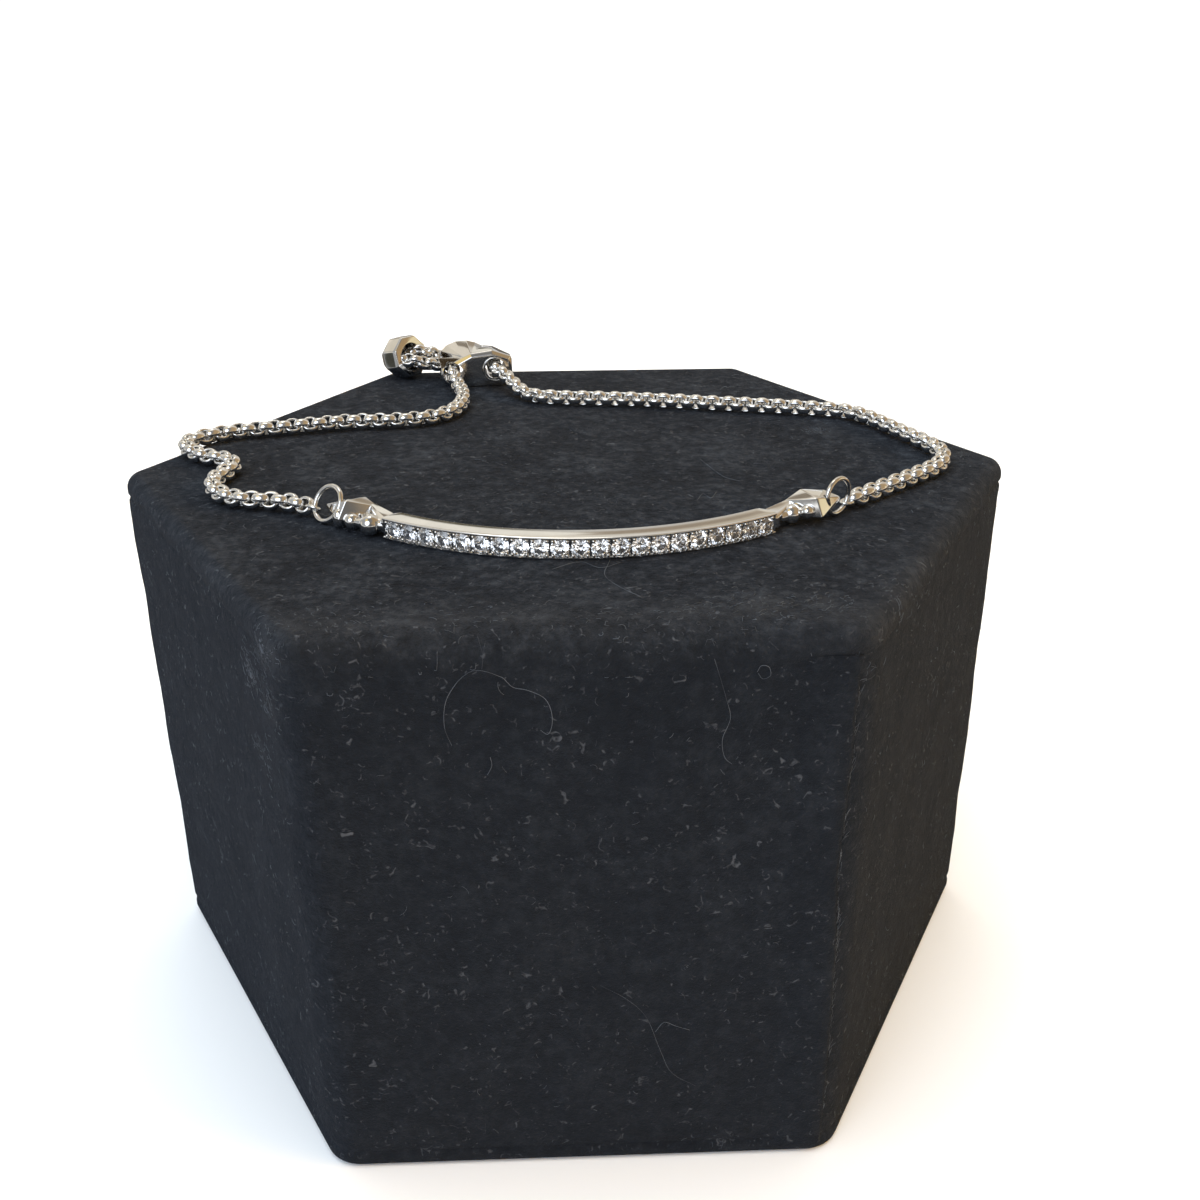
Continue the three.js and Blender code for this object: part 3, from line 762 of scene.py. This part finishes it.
def lint_fibres():
    """Short curled fibres of dust and lint caught in the nap, in drifts and at the rubbed places."""
    random.seed(21)
    parts = []
    for place, u, v in stand_sites(LINT_COUNT):
        drift = noise.noise(Vector(place) * 0.1) + 0.6 * noise.noise(Vector(place) * 0.4)
        # the front is cleaner, apart from its rim
        if place[1] < -40 and place[2] < 54 and random.random() < 0.62:
            continue
        if drift < random.uniform(-0.55, 0.35):
            continue
        length = min(random.lognormvariate(-0.85, 0.55), 2.2)
        parts += fibre(place, u, v, length, random.uniform(0, 2 * pi), random.gauss(0, 1.8),
                       random.choice((0.008, 0.010, 0.013, 0.018)))
    for px, py, pz, size, force in WORN_PATCHES:
        for _ in range(int(PATCH_LINT * force)):
            place = np.array([px, py, pz]) + np.array([random.gauss(0, size * 0.7) for _ in range(3)])
            parts += fibre(place, unit([py, -px, 0.0]), np.array([0, 0.6, 0.8]), random.uniform(0.2, 0.9),
                           random.uniform(0, 2 * pi), random.gauss(0, 2.5),
                           random.choice((0.010, 0.014, 0.020)))
    # the frayed edge of the lap
    for _ in range(LAP_LINT):
        z = random.uniform(5, 53)
        place = (lap_across(z) + abs(random.gauss(0.12, 0.08)), -APOTHEM, z)
        parts += fibre(place, np.array([1.0, 0, 0]), UP, random.uniform(0.4, 1.3),
                       pi / 2 + random.gauss(0, 0.35), random.gauss(0, 0.8), 0.012)
    mesh_piece("lint_fibres", *join(parts), LINT, slot="black_velvet")


def long_hairs():
    """A few long hairs lying on the front of the block and on its top."""
    parts = []
    for face, radius, points in HAIRS:
        places = [(a, -APOTHEM, b) if face == "front" else (a, b, REST) for a, b in points]
        parts.append(tube([on_velvet(p, 0.05) for p in spline(places, 6)], radius, 4))
    mesh_piece("long_hairs", *join(parts), LINT, slot="black_velvet")


velvet_lap()
lint_fibres()
long_hairs()


# -------- bar and connectors
def bar_out(degrees):
    """The direction that the bar faces at an angle from its middle."""
    angle = rad(BAR_MIDDLE + degrees)
    return np.array([sin(angle), -cos(angle), 0.0])


def bar_point(degrees, radius, height):
    """A place on the bar, by the angle from its middle and the radius of its arc."""
    return np.array([*BAR_CENTRE, REST + height]) + radius * bar_out(degrees)


def stone_angle(index):
    return (index - (STONE_COUNT - 1) / 2) * np.degrees(STONE_PITCH / BAR_RADIUS)


def connector_point(side, out, across, up):
    """A place by a connector's own directions, from the middle of the bar's end."""
    end = bar_point(side["mirror"] * BAR_HALF_ANGLE, BAR_RADIUS - BAR_DEPTH / 2, 0)
    angle = rad(side["angle"])
    return np.array([
        end[0] + side["mirror"] * (out * cos(angle) - across * sin(angle)),
        end[1] + out * sin(angle) + across * cos(angle),
        REST + up,
    ])


def stud_point(side, out, across, up):
    """A place on the stud, which is rolled about its connector's line and dips outwards."""
    roll = rad(side["roll"])
    rise = up - AXIS_HEIGHT
    dip = max(0, out - STUD[0][0]) * sin(rad(side["dip"]))
    turned_across = across * cos(roll) + rise * sin(roll)
    turned_up = rise * cos(roll) - across * sin(roll) - dip
    return connector_point(side, out, turned_across, AXIS_HEIGHT + turned_up)


def ring_frame(side):
    """A jump ring's middle, and its directions along the velvet and up."""
    ring = side["ring"]
    angle, lean = rad(ring["angle"]), rad(ring["lean"])
    centre = connector_point(
        side, ring["out"], ring["across"], RING_WIRE + RING_RADIUS * cos(lean))
    along = np.array([cos(angle), sin(angle), 0.0])
    up = np.array([
        sin(lean) * sin(angle), -sin(lean) * cos(angle), cos(lean)])
    return centre, along, up


def ring_tube(side, radius):
    """A closed tube along a jump ring's middle line."""
    centre, along, up = ring_frame(side)
    line = [centre + RING_RADIUS * (along * c + up * s) for c, s in circle(64)]
    return tube(line, radius, 16, closed=True)


def bar_body():
    """The curved bar: rounded edges, and a channel for the stones between two bright rims."""
    back, front, top = BAR_RADIUS - BAR_DEPTH, BAR_RADIUS, BAR_HEIGHT
    floor = front - CHANNEL_DEPTH
    section = [
        (back + 0.12, 0.0), (front - 0.14, 0.0), (front - 0.04, 0.05), (front, 0.13),
        (front - 0.01, BAR_RIM - 0.03), (front - 0.05, BAR_RIM), (floor, BAR_RIM + 0.02),
        (floor, top - BAR_RIM - 0.02), (front - 0.05, top - BAR_RIM), (front - 0.01, top - BAR_RIM + 0.03),
        (front, top - 0.13), (front - 0.03, top - 0.05), (front - 0.1, top - 0.012), (front - 0.16, top),
        (back + 0.16, top), (back + 0.05, top - 0.03), (back, top - 0.13), (back, 0.13), (back + 0.04, 0.04),
    ]
    rings = []
    for angle in np.linspace(-BAR_HALF_ANGLE, BAR_HALF_ANGLE, 160):
        left = rad(BAR_HALF_ANGLE - abs(angle)) * BAR_RADIUS
        taper = 1 - min(left / BAR_TAPER, 1.0)
        slim = BAR_SLIM * taper ** 2
        drop = BAR_DROP * taper ** 2
        ring = []
        for r, h in section:
            share = (front - r) / BAR_DEPTH
            ring.append(bar_point(angle, r + slim * share, h - drop * (h / BAR_HEIGHT) * share))
        rings.append(ring)
    obj = loose("bar_body", *loft(rings, caps=True))
    seats = []
    for i in range(STONE_COUNT):
        out = bar_out(stone_angle(i))
        side = np.cross(out, UP)
        centre = bar_point(stone_angle(i), BAR_RADIUS - STONE_SETBACK, BAR_HEIGHT / 2)
        seats.append(loft([
            [centre + out * depth + r * (side * c + UP * s) for c, s in circle(24)]
            for r, depth in SEAT_PROFILE
        ], caps=True))
    cut(obj, "seats", *join(seats))
    piece = finished(obj, "bar_body", 30)
    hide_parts("bar")


def prongs():
    """Four small beads round each stone, raised from the rims, two to each gap above and below."""
    parts = []
    for i in range(STONE_COUNT + 1):
        for level in (PRONG_LEVEL, BAR_HEIGHT - PRONG_LEVEL):
            for nudge in (-PRONG_NUDGE, PRONG_NUDGE):
                if (i == 0 and nudge < 0) or (i == STONE_COUNT and nudge > 0):
                    continue
                angle = stone_angle(i - 0.5) + np.degrees(nudge / BAR_RADIUS)
                centre = bar_point(angle, BAR_RADIUS - PRONG_SUNK, level)
                parts.append(sphere(centre, PRONG_RADIUS, 10, 7, (bar_out(angle), 1.15)))
    piece = mesh_piece("prong_beads", *join(parts), SILVER)
    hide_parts("bar")


def connector(name, side):
    """A faceted stud on a short neck from the bar, with round beads soldered under its front."""
    stud = rounded_hull(name, [stud_point(side, *corner) for corner in STUD], 0.11, 3)
    ring_room = ring_tube(side, RING_WIRE + RING_CLEARANCE)
    cut(stud, "ring_room", *ring_room)
    piece = finished(stud, name + "_stud", 25)
    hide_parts("bar")
    shoulder = rounded_hull(name, [connector_point(side, *corner) for corner in SHOULDER], 0.22, 4)
    piece = finished(shoulder, name + "_shoulder", 30)
    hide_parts("bar")
    # the neck goes on as a thinner core through two beads and back into the stud
    beads = [(connector_point(side, *bead[:3]), bead[3]) for bead in side["beads"]]
    core = [
        connector_point(side, -0.4, 0, AXIS_HEIGHT), beads[0][0], beads[1][0],
        connector_point(side, side["beads"][1][0] + 0.4, 0, AXIS_HEIGHT),
    ]
    parts = [tube(core, [NECK_RADIUS, NECK_RADIUS, CORE_RADIUS, CORE_RADIUS], 32)]
    parts += [sphere(place, radius, 40, 24) for place, radius in beads[:2]]
    piece = mesh_piece(name + "_beads", *join(parts), SILVER)
    keep_edges(piece, 50)
    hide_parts("bar")
    for place, radius in beads[2:]:
        eye = loose("eye", *sphere(place, radius, 40, 24, (UP, 1.5)))
        cut(eye, "ring_room", *ring_room)
        piece = finished(eye, name + "_eye", 50)
        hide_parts("bar")


bar_body()
prongs()
connector("connector_right", SIDES["right"])
connector("connector_left", SIDES["left"])

for label, side in SIDES.items():
    piece = mesh_piece(f"ring_{label}", *ring_tube(side, RING_WIRE), SILVER)
    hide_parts(f"jump_ring_{label}")


# -------- stones
def ring_of(count, offset, radius, height):
    return [(radius * c, radius * s, height) for c, s in circle(count, offset)]


def brilliant(name):
    """A cut stone that faces +Z, with its girdle at the middle."""
    radius = STONE_DIAMETER / 2
    top = STONE_CROWN * STONE_DIAMETER
    depth = STONE_PAVILION * STONE_DIAMETER
    half = STONE_GIRDLE * STONE_DIAMETER
    return hull_mesh(name, [
        *ring_of(8, 0.5, 0.57 * radius, top),
        *ring_of(8, 0, 0.78 * radius, top * 0.56),
        *ring_of(16, 0, radius, half),
        *ring_of(16, 0, radius, -half),
        *ring_of(8, 0.5, 0.42 * radius, -depth * 0.58),
        (0, 0, -depth),
    ])


random.seed(11)
for i in range(STONE_COUNT):
    name = f"cut_stone_{i + 1:02d}"
    mesh = brilliant(name)
    out = Vector(bar_out(stone_angle(i)))
    centre = Vector(bar_point(stone_angle(i), BAR_RADIUS - STONE_SETBACK, BAR_HEIGHT / 2)) * MM
    tilt = Vector([random.uniform(-STONE_TILT, STONE_TILT) for _ in range(3)])
    turn = (out + tilt).to_track_quat("Z", "Y").to_matrix().to_4x4()
    spin = Matrix.Rotation(random.uniform(0, pi / 4), 4, "Z")
    mesh.transform(Matrix.Translation(centre) @ turn @ spin)
    piece = dressed(name, mesh, CRYSTAL, smooth=False)
    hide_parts(f"stone_{i + 1:02d}")


# -------- chains
def chain_start(side, route):
    """Where a chain holds its jump ring, the ring wire's direction there, and the chain's."""
    centre, along, up = ring_frame(side)
    angle = rad(side["ring"]["hold"])
    hold = centre + RING_RADIUS * (along * cos(angle) - up * sin(angle))
    wireway = along * sin(angle) + up * cos(angle)
    heading = unit(np.array([route[0][0], route[0][1], hold[2]]) - hold)
    return hold, wireway, heading


def chain_curve(side, route):
    hold, _, heading = chain_start(side, route)
    points = [hold + CHAIN_START * heading] + [(x, y, REST + (h[0] if h else 1)) for x, y, *h in route]
    return np.vstack([[hold], spline(points)])


class Route:
    """Positions along a polyline by its length."""

    def __init__(self, curve):
        self.curve = curve
        steps = np.linalg.norm(np.diff(curve, axis=0), axis=1)
        self.at_length = np.concatenate([[0], np.cumsum(steps)])
        self.length = self.at_length[-1]

    def at(self, s):
        s = min(max(s, 0), self.length)
        return np.array([np.interp(s, self.at_length, self.curve[:, k]) for k in range(3)])


def link_rings():
    """One link of the box chain in its own frame: along X, its hole's axis along Y."""
    power = 2 / LINK_SQUARE
    line = [
        np.array([
            LINK_LONG * copysign(abs(c) ** power, c), LINK_WIDE * copysign(abs(s) ** power, s),
        ])
        for c, s in circle(24, 0.5)
    ]
    rings = []
    for i, p in enumerate(line):
        way = line[(i + 1) % len(line)] - line[i - 1]
        out = unit([way[1], -way[0]])
        rings.append([(p[0] + out[0] * u, w, p[1] + out[1] * u) for u, w in LINK_SECTION])
    return rings


def chain_links(name, side, route, node, seed, twist=0):
    """A chain's links along its route, and the loop that joins it to its jump ring."""
    random.seed(seed)
    path = Route(chain_curve(side, route))
    verts, faces = closed_loft(link_rings())
    verts = np.array(verts)
    parts = []
    s = FIRST_LINK
    while s < path.length - LAST_LINK:
        a, b = path.at(s - LINK_PITCH / 2), path.at(s + LINK_PITCH / 2)
        x = unit(b - a)
        level = unit(np.cross((0, 0, 1), x))
        up = np.cross(x, level)
        turned = min(max((s - TWIST_FROM) / TWIST_LENGTH, 0), 1)
        quarter = 90 * (len(parts) % 2)
        roll = rad(45 + twist * turned + quarter + random.uniform(-LINK_TWIST, LINK_TWIST))
        y = level * cos(roll) + up * sin(roll)
        placed = (a + b) / 2 + verts @ np.array([x, y, np.cross(x, y)])
        parts.append(([tuple(v) for v in placed], faces))
        s += LINK_PITCH
    hold, wireway, heading = chain_start(side, route)
    across = unit(np.cross(wireway, heading))
    loop = [
        hold + heading * (LOOP_AHEAD + LOOP_LONG * c) + across * LOOP_WIDE * s for c, s in circle(32)
    ]
    parts.append(tube(loop, LOOP_WIRE, 12, closed=True))
    piece = mesh_piece(name, *join(parts), CHAIN_METAL)
    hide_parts(node)


chain_links("links_right", SIDES["right"], RIGHT_ROUTE, "chain_right", 3, RIGHT_TWIST)
chain_links("links_left", SIDES["left"], LEFT_ROUTE, "chain_left", 4)


# -------- slider and end cap
def channel_tubes():
    """The chain's two ways through the slider, each run on straight behind it."""
    parts = []
    for side, route in ((SIDES["left"], LEFT_ROUTE), (SIDES["right"], RIGHT_ROUTE)):
        path = Route(chain_curve(side, route))
        lengths = np.arange(0, path.length, CHANNEL_STEP)
        first, last = (next(s for s in lengths if path.at(s)[1] > y) for y in CHANNEL_Y)
        points = [path.at(s) for s in np.arange(first, last, CHANNEL_STEP)]
        points.append(points[-1] + CHANNEL_END * unit(points[-1] - points[-2]))
        parts.append(tube(points, CHANNEL_RADIUS, 28))
    return parts


def placed_slider(across, depth, up):
    turn = rad(SLIDER_TURN)
    return np.array([
        SLIDER_PLACE[0] + across * cos(turn) - depth * sin(turn),
        SLIDER_PLACE[1] + across * sin(turn) + depth * cos(turn),
        REST + up,
    ])


def slider():
    """The slider bead, pierced for both chains, with a raised lip round one mouth."""
    corners = [placed_slider(x, depth, z) for depth, level in SLIDER_CORNERS.items() for x, z in level]
    faces = [tuple(range(8)), tuple(reversed(range(17, 31)))]
    faces += [(i, 8 + i, 8 + (i + 1) % 8, (i + 1) % 8) for i in range(8) if i != 1]
    obj = loose("slider_bead", corners, faces + SLIDER_FACETS)
    bevel(obj, 0.07, 3, 8)
    for channel in channel_tubes():
        cut(obj, "channel", *channel)
    piece = finished(obj, "slider_bead", 30)
    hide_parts("slider")
    across, up = SLIDER_MOUTH
    rings = [
        [placed_slider(across + radius * c, depth, up + radius * s) for c, s in circle(48)]
        for depth, radius in COLLAR_PROFILE
    ]
    collar = mesh_piece("slider_collar", *loft(rings), SILVER)
    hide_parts("slider")


def end_cap():
    """The faceted cup that holds the chains' ends."""
    flat = pi / CAP_SIDES
    matrix = (
        Matrix.Translation(Vector((CAP_PLACE[0], CAP_PLACE[1], REST + CAP_PLACE[2])) * MM)
        @ Matrix.Rotation(rad(CAP_TURN), 4, "Z")
        @ Matrix.Rotation(rad(90 + CAP_DROOP), 4, "Y")
        @ Matrix.Rotation(flat, 4, "Z")
    )
    corners = []
    for along, width in CAP_PROFILE:
        corners += ring_of(CAP_SIDES, 0, width / cos(flat), along)
    obj = rounded_hull("end_cap_cup", corners, 0.14, 3, matrix)
    bore = [
        (0.01, -1), (CAP_BORE, -1), (CAP_BORE, CAP_BORE_DEPTH - 0.4), (CAP_BORE - 0.4, CAP_BORE_DEPTH),
        (0.01, CAP_BORE_DEPTH),
    ]
    cut(obj, "bore", *loft([ring_of(40, 0, r, z) for r, z in bore], caps=True), matrix)
    piece = finished(obj, "end_cap_cup", 30)
    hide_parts("end_cap")


slider()
end_cap()


# -------- floor, light and camera
FLOOR_HALF = 12.0  # metres
DOME_RADIUS = 4.0  # metres, near enough to stay within a camera's far clip even when that clip is short
# heights over and under the level, in a direction of length 1, where the pale horizon starts and is full
HORIZON_OUTER = 0.03
HORIZON_INNER = 0.015
HORIZON_COLOUR = (1.1, 1.1, 1.1)
CAMERA_LENS = 38.27
CAMERA_SENSOR = 36
CAMERA_PLACE = (-1.653, -132.074, 102.164)
CAMERA_WAY = (0.0339, 0.9076, -0.4186)
CAMERA_TURN = -0.0044  # about its own axis, in radians


def room_mesh(name, verts, faces, material):
    """A part of the room round the bracelet, in metres, that nothing mirrors."""
    mesh = bpy.data.meshes.new(name)
    mesh.from_pydata(verts, [], faces)
    mesh.materials.append(material)
    obj = in_scene(name, mesh)
    obj.visible_glossy = False
    return obj


def floor():
    material = cloudy_material(
        "studio_floor", 3.0, 2.0, [(0.3, (0.93, 0.93, 0.93)), (0.7, (0.95, 0.95, 0.95))],
        Roughness=1.0, Specular_IOR_Level=0.0)
    corners = [(x * FLOOR_HALF, y * FLOOR_HALF, 0) for x, y in ((-1, -1), (1, -1), (1, 1), (-1, 1))]
    obj = room_mesh("floor", corners, [(0, 1, 2, 3)], material)


def backdrop():
    """A plain pale dome behind everything, seen by the camera alone."""
    material = cloudy_material(
        "studio_backdrop", 0.4, 1.0, [(0.3, (0.98, 0.98, 0.98)), (0.7, (1.0, 1.0, 1.0))],
        "Emission_Color", Emission_Strength=1.1, Base_Color=(0, 0, 0, 1), Specular_IOR_Level=0.0)
    rings = []
    for elevation in (-1, 0, 15, 30, 45, 60, 75, 89):
        out, up = DOME_RADIUS * compass(elevation)
        rings.append(ring_of(36, 0, out, up))
    obj = room_mesh("backdrop", *loft(rings), material)
    obj.visible_diffuse = False
    obj.visible_transmission = False
    obj.visible_shadow = False


def direction(azimuth, elevation):
    """Azimuth from the back (+Y) towards the right (+X)."""
    a, e = rad(azimuth), rad(elevation)
    return Vector((sin(a) * cos(e), cos(a) * cos(e), sin(e)))


# Panels of the room that the polished metal mirrors: azimuth, elevation, inner and outer
# angle from its middle, colour.
PANELS = [
    (95, 5, 25, 65, (0.46, 0.29, 0.13)),
    (-95, 10, 25, 65, (0.36, 0.37, 0.38)),
    (180, 20, 25, 60, (0.15, 0.145, 0.14)),
    (115, 50, 25, 52, (0.38, 0.27, 0.15)),
    (-170, 60, 22, 38, (0.21, 0.205, 0.20)),
    (152, 3, 3, 7, (0.66, 0.53, 0.30)),
    (-86, -14, 6, 12, (0.06, 0.06, 0.05)),
    (-150, 33, 14, 28, (2.3, 2.5, 2.8)),
    (25, 19, 16, 23, (0.56, 0.49, 0.39)),
    (4, 20, 3, 9, (0.34, 0.28, 0.21)),
    (-24, 34, 20, 26, (0.80, 0.73, 0.62)),
    (-13.5, 19, 13.6, 15.0, (0.86, 0.82, 0.73)),
    (-10, 38, 5, 8, (0.26, 0.22, 0.17)),
    (16, 10, 6, 9, (0.74, 0.68, 0.57)),
    (-5, 9, 3, 6, (0.10, 0.09, 0.06)),
    (-29, 24, 7, 10, (0.05, 0.035, 0.02)),
    (-54, 30, 10, 14, (0.72, 0.66, 0.55)),
    (-80, 8, 8, 12, (0.75, 0.68, 0.55)),
    (82, 8, 8, 14, (0.84, 0.72, 0.46)),
    (-118, 56, 11, 15, (0.85, 0.66, 0.30)),
    (-20, 74, 9, 13, (2.4, 2.3, 2.1)),
]

COOL = (0.82, 0.90, 1.0)
PLAIN = (1.0, 0.98, 0.95)
WARM = (1.0, 0.86, 0.68)
CARD_STRENGTH = 0.68
# Cards for the stones: azimuth, elevation, size in metres, radiance, colour.
STONE_CARDS = [
    (-160, 35, 0.28, 3.6, COOL), (165, 20, 0.20, 4.0, PLAIN), (-125, 50, 0.28, 3.0, COOL),
    (140, 45, 0.25, 3.0, WARM), (-175, 62, 0.3, 3.0, COOL), (-140, 12, 0.2, 3.6, COOL),
    (115, 25, 0.25, 3.2, WARM), (180, -5, 0.16, 2.0, COOL), (-105, 20, 0.3, 2.4, COOL),
    (150, 5, 0.18, 2.4, WARM),
]


def world():
    """A soft studio room round the part."""
    sky = bpy.data.worlds.new("studio")
    bpy.context.scene.world = sky
    tree = Tree(sky)
    place = tree.add("TexCoord", "Generated")
    height = tree.add("SeparateXYZ", "Z", Vector=place)
    colour = tree.ramp(tree.add("MapRange", "Result", Value=height, From_Min=-1.0), [
        (0.0, (0.09, 0.08, 0.07)), (0.49, (0.17, 0.15, 0.13)), (0.5, (0.46, 0.44, 0.41)),
        (0.7, (0.70, 0.67, 0.62)), (0.9, (0.74, 0.71, 0.66)), (1.0, (0.70, 0.68, 0.64)),
    ])

    def over(value, start, end, tint):
        """Lays a tint over the colour, from none where the value is start to all of it at end."""
        mask = tree.add("MapRange", "Result", Value=value, From_Min=start, From_Max=end,
                        interpolation_type="SMOOTHSTEP")
        # a mix of vectors takes its two colours at inputs 4 and 5, and gives the result at output 1
        mix = tree.add("Mix", 1, Factor=mask, data_type="VECTOR").node
        mix.inputs[5].default_value = tint
        tree.links.new(colour, mix.inputs[4])
        return mix.outputs[1]

    for azimuth, elevation, inner, outer, tint in PANELS:
        way = direction(azimuth, elevation)
        near = tree.add("VectorMath", "Value", (place, way), operation="DOT_PRODUCT")
        colour = over(near, cos(rad(outer)), cos(rad(inner)), tint)
    level = tree.add("Math", "Value", (height,), operation="ABSOLUTE")
    colour = over(level, HORIZON_OUTER, HORIZON_INNER, HORIZON_COLOUR)
    tree.feed(tree.nodes["Background"], Color=colour, Strength=1.0)


def lamp(name, kind, way, energy, colour):
    """A light that shines from a direction, and that the metal doesn't mirror."""
    light = bpy.data.lights.new(name, kind)
    light.energy = energy
    light.color = colour
    obj = in_scene(name, light)
    obj.rotation_euler = way.to_track_quat("Z", "Y").to_euler()
    obj.visible_glossy = False
    return obj


def soft_sun(name, azimuth, elevation, strength, spread, colour):
    """An even soft light."""
    obj = lamp(name, "SUN", direction(azimuth, elevation), strength, colour)
    obj.data.angle = rad(spread)
    obj.visible_transmission = False


def sparkle(name, azimuth, elevation, size, radiance, colour):
    """A small bright card that only the cut stones pick up."""
    way = direction(azimuth, elevation)
    obj = lamp(name, "AREA", way, CARD_STRENGTH * radiance * pi * size ** 2, colour)
    obj.data.shape = "SQUARE"
    obj.data.size = size
    obj.location = way
    obj.visible_diffuse = False


def camera():
    data = bpy.data.cameras.new("camera")
    data.lens = CAMERA_LENS
    data.sensor_width = CAMERA_SENSOR
    data.clip_start = 0.002
    data.clip_end = 100
    obj = in_scene("camera", data)
    forward = Vector(CAMERA_WAY).normalized()
    right = forward.cross(Vector((0, 0, 1))).normalized()
    up = right.cross(forward)
    c, s = cos(CAMERA_TURN), sin(CAMERA_TURN)
    matrix = Matrix((right * c + up * s, up * c - right * s, -forward)).transposed().to_4x4()
    matrix.translation = Vector(CAMERA_PLACE) * MM
    obj.matrix_world = matrix
    bpy.context.scene.camera = obj


floor()
backdrop()
world()
soft_sun("overhead", 180, 88, 2.6, 70, (0.84, 0.94, 1.0))
soft_sun("left_cool", -115, 25, 0.6, 60, (0.15, 0.45, 1.0))
soft_sun("right_warm", 100, 20, 2.0, 30, (1.0, 0.50, 0.0))
for i, card in enumerate(STONE_CARDS):
    sparkle(f"card_{i}", *card)
camera()
bpy.context.scene.view_settings.view_transform = "Standard"

bpy.context.view_layer.update()
